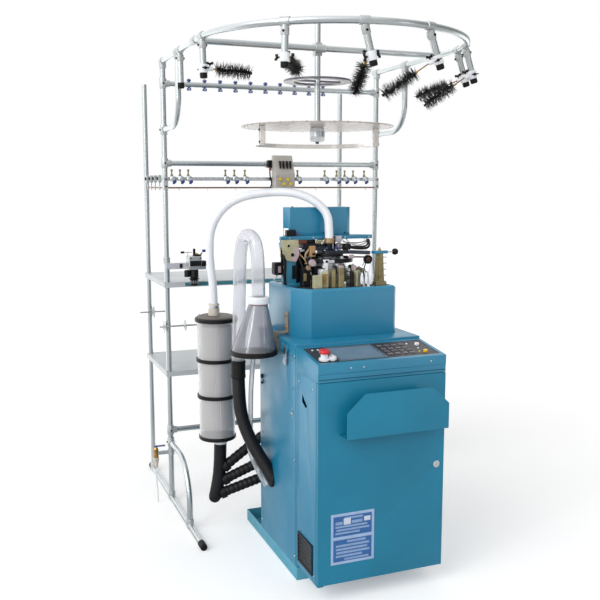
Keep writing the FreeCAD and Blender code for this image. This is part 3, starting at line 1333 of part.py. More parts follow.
def cone_mount():
    """Black sealing ring round the cone's open bottom, on a bracket from the guard box."""
    ring = sleeve(V(CONE_X, CONE_Y, CONE_BOTTOM - 20), V(CONE_X, CONE_Y, CONE_BOTTOM - 0.1),
                  CONE_R_BOTTOM + CONE_RIM, CONE_R_BOTTOM - 12, CONE_SIDES)
    near = CONE_X + CONE_R_BOTTOM
    foot = box(near, -BODY_HALF - TABLE_LIP - SEAT, CONE_Y - 14, CONE_Y + 14, CONE_BOTTOM - 20, CONE_BOTTOM - 8)
    wall = GUARD_LEFT - SEAT
    outline = [
        (near, CONE_BOTTOM - 8), (near + 4, CONE_BOTTOM - 8), (near + 4, STRAP_Z), (wall, STRAP_Z),
        (wall, STRAP_Z + 80), (GUARD_LEFT - 22, STRAP_Z + 80), (GUARD_LEFT - 22, STRAP_Z + 11), (near, STRAP_Z + 11),
    ]
    strap = front_profile(outline, CONE_Y - 14, CONE_Y + 14)
    return fuse([ring, foot, strap])


STRAP_Z = TABLE_Z + 10.0


# ================================================================ build
def main():
    os.makedirs("parts", exist_ok=True)
    save("base_tray", base_tray())
    save("main_cabinet", main_cabinet())
    save("pedestal_cover", pedestal_cover())
    save("bed_plate", bed_plate())
    save("control_cabinet", control_cabinet())
    save("cabinet_door", cabinet_door())
    save("door_lock", door_lock())
    save("document_tray", document_tray())
    save("console_top", console_top())
    save("console_insert", console_insert())
    save("display_panel", display_panel())
    save("estop_button", estop_button())
    save("selector_knob", selector_knob())
    save("jog_button", push_button(JOG))
    save("start_button", push_button(START))
    save("fan_grille", fan_grille())
    save("body_latch", body_latch())
    save("drive_motor", drive_motor())
    save("motor_pulley", motor_pulley())
    save("drive_belt", drive_belt())
    save("needle_cylinder", needle_cylinder())
    save("cam_ring", cam_ring())
    save("selector_blocks", selector_blocks())
    save("dial", dial())
    save("dial_arm", dial_arm())
    for number in range(FINGER_COUNT):
        save("yarn_finger_%d" % (number + 1), yarn_finger(number))
    save("head_plate", head_plate())
    save("head_cover", head_cover())
    save("left_column", left_column())
    save("hinge_bracket", hinge_bracket())
    save("right_bracket", right_bracket())
    save("lock_lever", fuse([lock_lever(), lever_knob()]))
    save("creel_posts", creel_posts())
    save("creel_rails", group([creel_rails(), pin_rail()]))
    save("corner_stays", corner_stays())
    save("ring_tube", ring_tube())
    save("tube_caps", tube_caps())
    save("ring_hangers", ring_hangers())
    save("brushes", brushes())
    save("yarn_guides", yarn_guides())
    save("shelves", shelves())
    save("disc_tube", disc_tube())
    save("yarn_discs", yarn_discs())
    save("stop_box", stop_box())
    save("feeder_body", feeder_body())
    save("feeder_wheel", feeder_wheel())
    save("spool_discs", spool_discs())
    save("air_valve", air_valve())
    save("valve_lever", valve_lever())
    save("canister_body", canister_body())
    save("canister_rings", canister_rings())
    save("suction_hose", suction_hose())
    save("clear_tubes", clear_tubes())
    save("body_hose", body_hose())
    save("outlet_hose", outlet_hose())
    save("catch_cone", catch_cone())
    save("cone_mount", cone_mount())
    save("blower", blower())


main()
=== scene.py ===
"""Looks of a circular sock knitting machine with its tube creel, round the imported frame.

Lengths are millimetres until a mesh is written, and the place of each piece is in its mesh.
"""

import json
import math

import bmesh
import bpy
from mathutils import Matrix, Vector

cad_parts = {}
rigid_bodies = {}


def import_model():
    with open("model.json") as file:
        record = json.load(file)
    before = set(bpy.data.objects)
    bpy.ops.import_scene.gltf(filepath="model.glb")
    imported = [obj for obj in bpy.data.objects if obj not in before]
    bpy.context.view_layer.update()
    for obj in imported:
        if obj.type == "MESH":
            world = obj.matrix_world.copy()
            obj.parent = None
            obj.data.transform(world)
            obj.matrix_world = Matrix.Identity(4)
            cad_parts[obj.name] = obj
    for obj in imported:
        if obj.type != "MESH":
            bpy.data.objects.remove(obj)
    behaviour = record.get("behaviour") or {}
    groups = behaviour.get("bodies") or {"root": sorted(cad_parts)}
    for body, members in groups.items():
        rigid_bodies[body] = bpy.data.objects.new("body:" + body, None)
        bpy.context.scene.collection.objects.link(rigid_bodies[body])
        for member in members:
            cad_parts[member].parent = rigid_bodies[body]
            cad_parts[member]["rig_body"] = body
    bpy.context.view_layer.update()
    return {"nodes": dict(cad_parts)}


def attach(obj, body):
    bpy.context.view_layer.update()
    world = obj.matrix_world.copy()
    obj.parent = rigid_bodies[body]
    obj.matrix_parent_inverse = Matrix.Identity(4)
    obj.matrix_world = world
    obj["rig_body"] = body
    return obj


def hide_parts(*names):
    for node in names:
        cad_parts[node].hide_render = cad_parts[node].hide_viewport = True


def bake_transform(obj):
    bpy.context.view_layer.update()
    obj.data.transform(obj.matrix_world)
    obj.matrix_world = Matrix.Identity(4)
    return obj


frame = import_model()

MM = 0.001
UP = Vector((0, 0, 1))
RIGHT = Vector((1, 0, 0))
BACK = Vector((0, 1, 0))
scene = bpy.context.scene

# ---------------------------------------------------------------- sizes and angles that the pieces share
TUBE = 12.5              # creel tube radius
LEFT_POST = -518.0
RIGHT_POST = 542.0
POST_FRONT = 680.0
POST_REAR = 1117.0
POST_FOOT = 27.5
FOOT_FRONT, FOOT_REAR = 118, 1140   # ends of the foot rails
RING_Z = 2038.0
RING_CENTRE = Vector((12.0, 28.0, RING_Z))
RING_R = 530.0
BODY_HALF = 254.0
CAB_FRONT = -497.0
BED_Z = 1099.0
CONSOLE_FRONT_Z = 881.0
CONSOLE_SLOPE = math.atan2(27.0, 205.0)
RAIL_TOP, RAIL_MID, RAIL_LOW = 1943, 1592, 347
CHORD_Y = 95             # rail across the ring
STAY_LOW, STAY_TOP = 290, 1740
STAY_FOOT_Y, STAY_HEAD_Y = 322, 385
FOOT_Z = 15
BAR_Y = 659.5            # front of the pin bar
PIN_ROD_Z = 1482
SHELF_FRONT = 664.0
STOP_BOX_X = -14.0       # left side of the yarn stop box
PORT_AT = (-416, 250, 0)
CANISTER_AT = (-408, 250, 0)
RISER_AT = (-376, 42, 0)  # clear riser over the black hose
NEEDLES = 84
CAMERA_YAW = 21.4
CAMERA_PITCH = 8.05
CAMERA_LENS = 49.32
CAMERA_AT = (-1.322, -3.050, 1.500)   # metres
SHARP_EDGE = 28.0        # degrees: an edge over this is rounded off
LAMP_SINK = -1.6         # a console lamp's foot, under the surface
DISC_AT = (-3, 122, 0)   # axis of the yarn disc
HOOP_R, HOOP_Z = 256.5, 1662
HOOP_START, HOOP_SWEEP, HOOP_STEPS = -8, 196, 60
BRUSH_CLAMP, BRUSH_LENGTH = 104, 144
BRISTLE_COUNT = 460
OUTLET_RIBS = 44
STOP_BOX_FOOT = 1478


# ================================================================ nodes and materials
def node(tree, kind, settings=(), **inputs):
    """Add one node: its settings, then its sockets by name (or _number), as values, sockets or nodes."""
    made = tree.nodes.new(kind)
    for key, value in dict(settings).items():
        setattr(made, key, value)
    for key, value in inputs.items():
        socket = made.inputs[int(key[1:])] if key[0] == "_" else made.inputs[key.replace("_", " ")]
        if isinstance(value, bpy.types.Node):
            value = value.outputs[0]
        if isinstance(value, bpy.types.NodeSocket):
            tree.links.new(value, socket)
        else:
            socket.default_value = value
    return made


def maths(tree, operation, first, second):
    return node(tree, "ShaderNodeMath", {"operation": operation}, _0=first, _1=second)


def empty_tree(owner):
    """The node tree of a material or world, with nothing in it."""
    owner.use_nodes = True
    owner.node_tree.nodes.clear()
    return owner.node_tree


def linked(name, data):
    """A new object in the scene."""
    made = bpy.data.objects.new(name, data)
    scene.collection.objects.link(made)
    return made


def linear(code):
    """An sRGB hex value as the linear colour that a shader takes."""
    shares = [int(code[start:start + 2], 16) / 255 for start in (1, 3, 5)]
    return tuple(c / 12.92 if c <= 0.04045 else ((c + 0.055) / 1.055) ** 2.4 for c in shares) + (1.0,)


def finish(name, colour, second, rough, grain, relief, drift=160.0, spread=0.06, stretch=(1, 1, 1), metallic=0.0,
        **shader):
    """A surface whose tone drifts between two colours over drift mm and whose relief has grains of grain mm."""
    material = bpy.data.materials.new(name)
    tree = empty_tree(material)
    place = node(tree, "ShaderNodeTexCoord").outputs["Object"]
    laid = node(tree, "ShaderNodeMapping", Vector=place, Scale=stretch)
    slow = node(tree, "ShaderNodeTexNoise", Vector=laid, Scale=1000 / drift, Detail=4.0, Roughness=0.6)
    share = node(tree, "ShaderNodeMapRange", Value=slow, From_Min=0.3, From_Max=0.7)
    tone = node(tree, "ShaderNodeMix", {"data_type": "RGBA"}, _0=share, _6=linear(colour), _7=linear(second))
    fine = node(tree, "ShaderNodeTexNoise", Vector=laid, Scale=1000 / grain)
    handled = node(tree, "ShaderNodeTexNoise", Vector=laid, Scale=1000 / (drift * 0.35), Detail=6.0)
    rub = node(tree, "ShaderNodeMapRange", Value=handled, From_Min=0.3, From_Max=0.7,
        To_Min=max(0.02, rough - spread), To_Max=min(1.0, rough + spread))
    bump = node(tree, "ShaderNodeBump", Strength=relief, Distance=grain * MM * 0.5, Height=fine)
    body = node(tree, "ShaderNodeBsdfPrincipled", Base_Color=tone.outputs[2], Roughness=rub, Normal=bump,
        Metallic=metallic, **shader)
    node(tree, "ShaderNodeOutputMaterial", Surface=body)
    return material


# Powder coat on folded steel sheet: semi-gloss, the fine orange peel breaks up the sheen.
TEAL = finish("powder_coat_teal", "#1b7fa2", "#18779a", 0.34, 1.6, 0.10, drift=260, IOR=1.6)
TEAL_DEEP = finish("powder_coat_teal_door", "#157a9a", "#127190", 0.36, 1.6, 0.10, drift=300, IOR=1.42)
# The floor tray's coat is paler and duller than the body's.
TEAL_PALE = finish("powder_coat_pale_teal", "#57a3ba", "#4c97ae", 0.45, 1.8, 0.12, drift=120, IOR=1.5)
# Stove enamel on cast iron: cream, the sand grain of the mould shows through.
CREAM = finish("enamel_cream_casting", "#b3af8f", "#979371", 0.42, 3.2, 0.35, drift=40, IOR=1.5)
# White powder coat of the shelves: satin, hardly any peel. The teal strip along their front edge is a painted
# reflection of the teal body.
SHELF_WHITE = finish("powder_coat_shelf_white", "#bfc4c6", "#b5babd", 0.45, 1.4, 0.08, drift=220, IOR=1.5)
TEAL_EDGE_REFLECTION = finish("shelf_edge_painted_reflection", "#2f7783", "#5d95a4", 0.4, 1.2, 0.08, drift=300, IOR=1.5)
# Warm grey enamel of the yarn stop box.
BOX_GREY = finish("enamel_warm_grey", "#b3afa8", "#a5a19a", 0.4, 1.6, 0.12, drift=60, IOR=1.5)
# Drawn aluminium tube, bright anodised: faint lines along it, pale and softly shining.
TUBE_METAL = finish("anodised_aluminium_tube", "#bcc1c2", "#b0b6b8", 0.24, 1.2, 0.02, drift=400, spread=0.03,
    metallic=0.85)
# Die-cast zinc fittings: a little greyer and more matt than the tubes that they join.
ZINC = finish("die_cast_zinc", "#bfc2c2", "#a9adae", 0.38, 1.4, 0.12, drift=40, metallic=0.65)
# Ground tool steel of cylinder, dial and cams: tight grinding lines, a cold grey.
GROUND = finish("ground_tool_steel", "#b9bbbd", "#94979b", 0.28, 0.9, 0.12, drift=30, stretch=(1, 1, 8), metallic=1.0)
# Zinc-plated screws and pins: bright with a bluish cast.
PLATED = finish("zinc_plated_steel", "#d3d6da", "#aeb3ba", 0.3, 0.8, 0.08, drift=12, metallic=1.0)
# Oxide-blackened steel: near black, oily, worn grey here and there.
BLACKENED = finish("blackened_steel", "#141416", "#232327", 0.42, 1.1, 0.22, drift=14, metallic=0.5,
    Specular_IOR_Level=0.25)
# Copper-coloured rod under the pin bar, dulled in handling.
COPPER = finish("tarnished_copper_rod", "#8d6a58", "#6d5348", 0.4, 1.0, 0.1, drift=18, metallic=0.8)
BRASS = finish("turned_brass", "#b9975a", "#977741", 0.3, 0.7, 0.15, drift=15, metallic=1.0)
# Moulded ABS and nylon: satin skins with the mould's spark-eroded grain.
BLACK_ABS = finish("moulded_black_abs", "#0a0a0b", "#121213", 0.42, 0.7, 0.25, drift=30, IOR=1.53,
    Specular_IOR_Level=0.22)
# Lid top: black ABS bleached to a brownish grey.
LID_TOP = finish("lid_bleached_abs", "#6b635b", "#4e4741", 0.5, 0.9, 0.15, drift=40, IOR=1.53)
WHITE_NYLON = finish("moulded_white_nylon", "#eceef1", "#dfe2e6", 0.38, 0.8, 0.12, drift=30, IOR=1.53,
    Subsurface_Weight=0.05)
RED_CAP = finish("moulded_red_cap", "#d0202a", "#b51a22", 0.3, 0.8, 0.06, drift=20, IOR=1.53)
BLUE_NYLON = finish("moulded_blue_nylon", "#1b3f8f", "#153272", 0.32, 0.7, 0.10, drift=12, IOR=1.53)
YELLOW_LENS = finish("moulded_yellow_lens", "#e3c21c", "#cda80f", 0.18, 0.8, 0.05, drift=9, IOR=1.53, Coat_Weight=0.5)
# Rubber: black and matt.
RUBBER = finish("black_rubber", "#0b0b0c", "#131314", 0.55, 0.9, 0.30, drift=26, IOR=1.52, Specular_IOR_Level=0.20)
# Spiral hose in black PVC.
BLACK_HOSE = finish("black_spiral_hose", "#0f0f11", "#1a191c", 0.46, 1.2, 0.25, drift=45, IOR=1.52,
    Specular_IOR_Level=0.20)
# White suction hose: soft PVC, milky with a slight shine.
WHITE_HOSE = finish("white_pvc_hose", "#eef0f5", "#e3e6ec", 0.34, 1.6, 0.08, drift=90, IOR=1.52,
    Subsurface_Weight=0.08)
# Screen-printed membrane panel: near black with a brown cast, silky.
PANEL_DARK = finish("membrane_panel_dark", "#231f22", "#2e2a2d", 0.48, 0.9, 0.10, drift=35, IOR=1.5)
KEY_GREY = finish("membrane_key_grey", "#7b7f88", "#6b6f78", 0.42, 0.7, 0.10, drift=8, IOR=1.5)
DISPLAY = finish("display_film", "#6f8090", "#7c8c9b", 0.2, 1.2, 0.04, drift=40, IOR=1.5, Coat_Weight=0.4)
BEZEL = finish("bezel_blue_grey", "#5c6c78", "#505f6b", 0.4, 0.9, 0.10, drift=40, IOR=1.5)
LABEL_EDGE = finish("label_film_edge", "#9fb6d6", "#93abce", 0.38, 0.9, 0.05, drift=60, IOR=1.5)
LABEL_FILM = finish("label_film_blue", "#2a62a2", "#215894", 0.35, 0.9, 0.05, drift=60, IOR=1.5)
LABEL_MID = finish("label_field_mid_blue", "#8aa3c6", "#7894bd", 0.4, 0.9, 0.05, drift=14, IOR=1.5)
LABEL_PALE = finish("label_field_pale", "#c9d0dd", "#bfc6d6", 0.4, 0.9, 0.05, drift=30, IOR=1.5)
# Guide ring over the disc: smoke-grey nylon.
GUIDE_SMOKE = finish("guide_ring_smoke", "#6a6771", "#57555f", 0.3, 1.0, 0.08, drift=30, IOR=1.53)
# Bristles of black nylon: thin, with a light point.
BRISTLE = finish("nylon_bristle_black", "#08080a", "#121214", 0.5, 0.6, 0.05, drift=6, IOR=1.53)
CABLE_BROWN = finish("cable_sheath_brown", "#7a4c3a", "#63392b", 0.45, 1.0, 0.1, drift=12, IOR=1.52)
# Small fittings round the head: cream castings painted olive-dark as painted shade, phenolic plugs, varnished coils
# and plain mouldings.
SHADED_CREAM = finish("enamel_cream_casting_painted_shade", "#8c8159", "#6d6442", 0.42, 2.4, 0.30, drift=22, IOR=1.5)
TAN = finish("anodised_tan_bracket", "#ab9474", "#8e775a", 0.36, 1.0, 0.15, drift=18, metallic=0.4)
PHENOLIC = finish("phenolic_red_brown", "#81402c", "#683121", 0.38, 0.8, 0.12, drift=14, IOR=1.55)
MAUVE_SHELL = finish("motor_shell_mauve_grey", "#7d7581", "#635d69", 0.4, 1.0, 0.15, drift=18, metallic=0.3)
COIL = finish("varnished_coil_golden", "#b58e60", "#936f45", 0.3, 0.6, 0.30, drift=10, stretch=(1, 1, 5), IOR=1.5)
PINK_GREY = finish("moulded_pink_grey", "#b9a7ab", "#a29095", 0.42, 0.8, 0.12, drift=12, IOR=1.53)
PORT_CREAM = finish("port_cream_pvc", "#cdc6bb", "#b9b1a5", 0.4, 0.9, 0.12, drift=24, IOR=1.53)
FILTER = finish("pleated_filter_felt", "#f6f5f4", "#e6e5e3", 0.8, 0.8, 0.25, drift=60, IOR=1.4)
SERVO_SHELL = finish("moulded_light_grey", "#c6c6ce", "#b2b2bc", 0.4, 0.8, 0.12, drift=18, IOR=1.53)
BLUED = finish("blued_steel_arm", "#1d222b", "#2b313d", 0.34, 1.1, 0.18, drift=20, metallic=0.6)
WINE_ROD = finish("wine_red_rod", "#5a1420", "#450f19", 0.35, 0.8, 0.1, drift=10, IOR=1.5)


def clear(name, colour, rough, weight, **shader):
    """A clear moulded plastic: light goes through, faint flow lines and handling marks stay on it."""
    return finish(name, colour, colour, rough, 14.0, 0.02, drift=120.0, spread=0.05, Transmission_Weight=weight,
        **shader)


# Acrylic sheet: clear in the hoop, clouded and warm in the big disc, brighter in the spool flanges.
ACRYLIC = clear("acrylic_sheet_clear", "#e8e4df", 0.16, 0.62, IOR=1.49)
FROSTED = clear("acrylic_sheet_frosted", "#b5aca4", 0.30, 0.0, IOR=1.49, Specular_IOR_Level=0.3)
FLANGE = clear("acrylic_flange_clear", "#e3e3e0", 0.10, 0.55, IOR=1.49)
# Canister of blown SAN: greyish and slightly cloudy, so what is behind shows only as tone.
CANISTER = clear("canister_clouded_san", "#f1f0f1", 0.12, 0.74, IOR=1.57)
# U tube of clear PVC: milky bluish wall.
PVC_CLEAR = clear("pvc_tube_clear", "#f4f5f9", 0.07, 0.86, IOR=1.52)
# Catch cone of smoke-tinted polycarbonate.
SMOKED = clear("smoked_polycarbonate", "#c3c5cc", 0.07, 0.86, IOR=1.58)
DRAIN = clear("drain_tube_clear", "#e2e4e8", 0.14, 0.7, IOR=1.52)


# ================================================================ shapes, drawn in millimetres
def eased(shape, width, segments=1):
    """The same shape with its sharp edges rounded off by width."""
    return from_bmesh(round_edges(to_bmesh(shape), width, segments))


def round_edges(mesh, width, segments):
    """Bevel every edge that is sharper than SHARP_EDGE degrees."""
    bmesh.ops.recalc_face_normals(mesh, faces=mesh.faces)
    sharp = [e for e in mesh.edges if len(e.link_faces) == 2 and e.calc_face_angle(0) > math.radians(SHARP_EDGE)]
    if sharp and width:
        bmesh.ops.bevel(mesh, geom=sharp, offset=width, segments=segments, affect="EDGES", profile=0.6,
            clamp_overlap=True)
    return mesh


def to_bmesh(shape):
    """A shape is a list of points and a list of faces; this gives it as a bmesh."""
    mesh = bmesh.new()
    points = [mesh.verts.new(p) for p in shape[0]]
    for face in shape[1]:
        mesh.faces.new([points[i] for i in face])
    return mesh


def from_bmesh(mesh):
    mesh.verts.index_update()
    shape = ([v.co.copy() for v in mesh.verts], [tuple(v.index for v in f.verts) for f in mesh.faces])
    mesh.free()
    return shape


def about_z(degrees):
    return Matrix.Rotation(math.radians(degrees), 4, "Z")


def joined(*shapes):
    points, faces = [], []
    for shape in shapes:
        base = len(points)
        points += shape[0]
        faces += [tuple(base + i for i in face) for face in shape[1]]
    return points, faces


def moved(shape, matrix):
    return [matrix @ p for p in shape[0]], shape[1]


def block(x0, x1, y0, y1, z0, z1, ease=0.8):
    corners = [Vector((x, y, z)) for z in (z0, z1) for y in (y0, y1) for x in (x0, x1)]
    faces = [(0, 2, 3, 1), (4, 5, 7, 6), (0, 1, 5, 4), (2, 6, 7, 3), (0, 4, 6, 2), (1, 3, 7, 5)]
    return eased((corners, faces), ease)


def prism(outline, lift, ease=0.8, segments=1):
    """A flat outline of points carried along the vector lift."""
    count = len(outline)
    base = [Vector(p) for p in outline]
    points = base + [p + Vector(lift) for p in base]
    faces = [tuple(range(count)), tuple(range(2 * count - 1, count - 1, -1))]
    faces += [(i, (i + 1) % count, count + (i + 1) % count, count + i) for i in range(count)]
    return eased((points, faces), ease, segments)


def frame_of(way):
    """Two directions square to way and to each other."""
    way = Vector(way).normalized()
    lean = RIGHT if abs(way.x) < 0.9 else BACK
    first = way.cross(lean).normalized()
    return way, first, way.cross(first)


def turned(profile, at=(0, 0, 0), way=(0, 0, 1), sides=32):
    """A turned piece: (radius, distance along way) rings. A radius of 0 closes it to a point."""
    way, first, second = frame_of(way)
    at = Vector(at)
    points, rows = [], []
    for radius, far in profile:
        centre = at + way * far
        if radius < 1e-6:
            rows.append([len(points)])
            points.append(centre)
            continue
        rows.append(list(range(len(points), len(points) + sides)))
        for number in range(sides):
            angle = math.tau * number / sides
            points.append(centre + first * (radius * math.cos(angle)) + second * (radius * math.sin(angle)))
    faces = []
    for low, high in zip(rows, rows[1:]):
        for number in range(sides):
            after = (number + 1) % sides
            if len(low) == 1 and len(high) > 1:
                faces.append((low[0], high[number], high[after]))
            elif len(high) == 1 and len(low) > 1:
                faces.append((low[number], high[0], low[after]))
            elif len(low) > 1:
                faces.append((low[number], high[number], high[after], low[after]))
    if profile[0] == profile[-1] and len(rows[0]) > 1:
        mesh = to_bmesh((points, faces))
        bmesh.ops.remove_doubles(mesh, verts=mesh.verts, dist=0.001)
        bmesh.ops.recalc_face_normals(mesh, faces=mesh.faces)
        return from_bmesh(mesh)
    if len(rows[0]) > 1:
        faces.append(tuple(rows[0]))
    if len(rows[-1]) > 1:
        faces.append(tuple(reversed(rows[-1])))
    return points, faces


def rod(start, end, radius, sides=24, chamfer=0.6):
    start, end = Vector(start), Vector(end)
    length = (end - start).length
    c = min(chamfer, radius * 0.4, length * 0.3)
    return turned([(radius - c, 0), (radius, c), (radius, length - c), (radius - c, length)], start, end - start,
        sides)


def ring(inner, outer, low, high, at=(0, 0, 0), way=(0, 0, 1), sides=48, chamfer=0.8):
    c = min(chamfer, (outer - inner) * 0.3, (high - low) * 0.3)
    return turned([(inner, low + c), (inner + c, low), (outer - c, low), (outer, low + c), (outer, high - c),
        (outer - c, high), (inner + c, high), (inner, high - c), (inner, low + c)], at, way, sides)


def rounded_route(points, bends, step=6.0):
    """The centre line of a bent steel tube: straight runs joined by true arcs."""
    points = [Vector(p) for p in points]
    line = [points[0]]
    for number in range(1, len(points) - 1):
        before = (points[number] - points[number - 1]).normalized()
        after = (points[number + 1] - points[number]).normalized()
        turn = before.angle(after)
        bend = bends[number - 1]
        axis = before.cross(after).normalized()
        start = points[number] - before * (bend * math.tan(turn / 2))
        pivot = start + axis.cross(before) * bend
        count = max(2, math.ceil(math.degrees(turn) / step))
        for part in range(count + 1):
            line.append(pivot + Matrix.Rotation(turn * part / count, 3, axis) @ (start - pivot))
    line.append(points[-1])
    return line


def spline(points, fine=12):
    """The smooth line of a hose or cable, read from a NURBS curve through its route."""
    curve = bpy.data.curves.new("route", "CURVE")
    curve.dimensions = "3D"
    curve.resolution_u = fine
    line = curve.splines.new("NURBS")
    line.points.add(len(points) - 1)
    for spot, place in zip(line.points, points):
        spot.co = (*place, 1.0)
    line.order_u = 3
    line.use_endpoint_u = True
    holder = bpy.data.objects.new("route", curve)
    mesh = bpy.data.meshes.new_from_object(holder)
    read = [v.co.copy() for v in mesh.vertices]
    bpy.data.objects.remove(holder)
    bpy.data.meshes.remove(mesh)
    return read


def even_steps(line, pitch):
    """The same line with its points a fixed pitch apart."""
    length = sum((b - a).length for a, b in zip(line, line[1:]))
    count = max(2, round(length / pitch))
    step = length / count
    out, walked, target = [line[0]], 0.0, step
    for a, b in zip(line, line[1:]):
        run = (b - a).length
        while run > 0 and target <= walked + run + 1e-6 and len(out) < count:
            out.append(a + (b - a) * ((target - walked) / run))
            target += step
        walked += run
    out.append(line[-1])
    return out


def swept(line, radius, sides=24, wall=0.0):
    """A round tube along a line; radius is one value or a function of the point's number. With a wall it is open."""
    line = [Vector(p) for p in line]
    size = radius if callable(radius) else (lambda number: radius)
    count = len(line)
    ways = [(line[min(number + 1, count - 1)] - line[max(number - 1, 0)]).normalized() for number in range(count)]
    _, first, _ = frame_of(ways[0])
    frames = []
    for number in range(count):
        if number:
            first = ways[number - 1].rotation_difference(ways[number]) @ first
        first = (first - ways[number] * first.dot(ways[number])).normalized()
        frames.append((first.copy(), ways[number].cross(first)))

    def wall_points(inset):
        out = []
        for number, (one, two) in enumerate(frames):
            reach = size(number) - inset
            for side in range(sides):
                angle = math.tau * side / sides
                out.append(line[number] + one * (reach * math.cos(angle)) + two * (reach * math.sin(angle)))
        return out

    points = wall_points(0.0)
    faces = []
    for low in range(0, (count - 1) * sides, sides):
        for side in range(sides):
            after = (side + 1) % sides
            faces.append((low + side, low + after, low + sides + after, low + sides + side))
    last = (count - 1) * sides
    if wall:
        shift = len(points)
        points += wall_points(wall)
        faces += [tuple(shift + i for i in reversed(face)) for face in faces]
        for side in range(sides):
            after = (side + 1) % sides
            faces += [
                (after, side, shift + side, shift + after),
                (last + side, last + after, shift + last + after, shift + last + side)]
    else:
        faces += [tuple(reversed(range(sides))), tuple(range(last, last + sides))]
    return points, faces


def pipe(route, radius, sides=12, fine=12, pitch=4.0, wall=0.0):
    """A round hose or cable through its route, in steps of pitch."""
    return swept(even_steps(spline(route, fine), pitch), radius, sides, wall)


def sleeve(at, way, half):
    """A collar of a clamp round one creel tube."""
    return turned([(13, -half), (16, 1 - half), (16, half - 1), (13, half)], at, way, 28)


def upright(outline, y, depth, ease=0.8):
    """A flat outline of (x, z) points at y, carried back by depth."""
    return prism([(x, y, z) for x, z in outline], (0, depth, 0), ease)


def slab(outline, z, height, ease, segments=1):
    """A flat outline of (x, y) points at z, carried up by height."""
    return prism([(x, y, z) for x, y in outline], (0, 0, height), ease, segments)


def tube(start, end):
    return swept([start, end], TUBE, 32)


# ================================================================ pieces
def assemble(name, body, parts, instead=(), smooth=32.0):
    """One piece from (material, shape) pairs. It rides on body and stands for the nodes in instead."""
    points, faces, slots, used = [], [], [], []
    for material, shape in parts:
        if material not in used:
            used.append(material)
        base = len(points)
        points += [p * MM for p in shape[0]]
        faces += [tuple(base + i for i in face) for face in shape[1]]
        slots += [used.index(material)] * len(shape[1])
    mesh = bpy.data.meshes.new(name)
    mesh.from_pydata(points, [], faces)
    for material in used:
        mesh.materials.append(material)
    mesh.polygons.foreach_set("material_index", slots)
    mesh.shade_smooth()
    mesh.set_sharp_from_angle(angle=math.radians(smooth))
    made = linked(name, mesh)
    if instead:
        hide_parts(*instead)
    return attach(made, body) if body else made


def dressed(name, material, ease=1.0, extra=()):
    """A folded or machined node again with its edges eased, in its finish, with loose details added."""
    cad = frame["nodes"][name]
    mesh = bmesh.new()
    mesh.from_mesh(cad.data)
    bmesh.ops.remove_doubles(mesh, verts=mesh.verts, dist=2e-6)
    bmesh.ops.scale(mesh, vec=(1 / MM,) * 3, verts=mesh.verts)
    bmesh.ops.dissolve_limit(mesh, angle_limit=math.radians(1.0), verts=mesh.verts, edges=mesh.edges)
    round_edges(mesh, ease, 2)
    shape = from_bmesh(mesh)
    body = cad["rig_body"]
    return assemble(name + "_finish", body, [(material, shape)] + list(extra), instead=(name,), smooth=25.0)


# ---------------------------------------------------------------- Geometry Nodes for what repeats
def new_tree(name, sockets):
    tree = bpy.data.node_groups.new(name, "GeometryNodeTree")
    for label, kind in (("Geometry", "NodeSocketGeometry"), *sockets, ("Material", "NodeSocketMaterial")):
        tree.interface.new_socket(label, in_out="INPUT", socket_type=kind)
    tree.interface.new_socket("Geometry", in_out="OUTPUT", socket_type="NodeSocketGeometry")
    return tree, node(tree, "NodeGroupInput").outputs


def end_tree(tree, given, copies):
    plain = node(tree, "GeometryNodeRealizeInstances", Geometry=copies)
    dressed_copies = node(tree, "GeometryNodeSetMaterial", Geometry=plain, Material=given["Material"])
    node(tree, "NodeGroupOutput", Geometry=dressed_copies)
    return tree


def tree_round_axis():
    """Copies of the drawn shape at equal angles round the vertical axis through the origin."""
    tree, given = new_tree("round_the_axis", [("Count", "NodeSocketInt")])
    points = node(tree, "GeometryNodePoints", Count=given["Count"])
    number = node(tree, "GeometryNodeInputIndex")
    share = maths(tree, "DIVIDE", number, given["Count"])
    angle = maths(tree, "MULTIPLY", share, math.tau)
    spin = node(tree, "ShaderNodeCombineXYZ", Z=angle)
    turn = node(tree, "FunctionNodeEulerToRotation", Euler=spin)
    copies = node(tree, "GeometryNodeInstanceOnPoints", Points=points, Instance=given["Geometry"], Rotation=turn)
    return end_tree(tree, given, copies)


def tree_along_line():
    """Copies of the drawn shape at a fixed pitch along a direction."""
    tree, given = new_tree("along_a_line", [("Count", "NodeSocketInt"), ("Step", "NodeSocketVector")])
    number = node(tree, "GeometryNodeInputIndex")
    place = node(tree, "ShaderNodeVectorMath", {"operation": "SCALE"}, Vector=given["Step"], Scale=number)
    points = node(tree, "GeometryNodePoints", Count=given["Count"], Position=place)
    copies = node(tree, "GeometryNodeInstanceOnPoints", Points=points, Instance=given["Geometry"])
    return end_tree(tree, given, copies)


def tree_at_spots():
    """Copies of a drawn shape on loose points, its Z along each point's way."""
    tree, given = new_tree("at_the_spots", [("Shape", "NodeSocketObject")])
    shape = node(tree, "GeometryNodeObjectInfo", Object=given["Shape"])
    way = node(tree, "GeometryNodeInputNamedAttribute", {"data_type": "FLOAT_VECTOR"}, Name="way")
    turn = node(tree, "FunctionNodeAlignRotationToVector", {"axis": "Z"}, Vector=way)
    copies = node(tree, "GeometryNodeInstanceOnPoints", Points=given["Geometry"], Instance=shape.outputs["Geometry"],
        Rotation=turn)
    return end_tree(tree, given, copies)


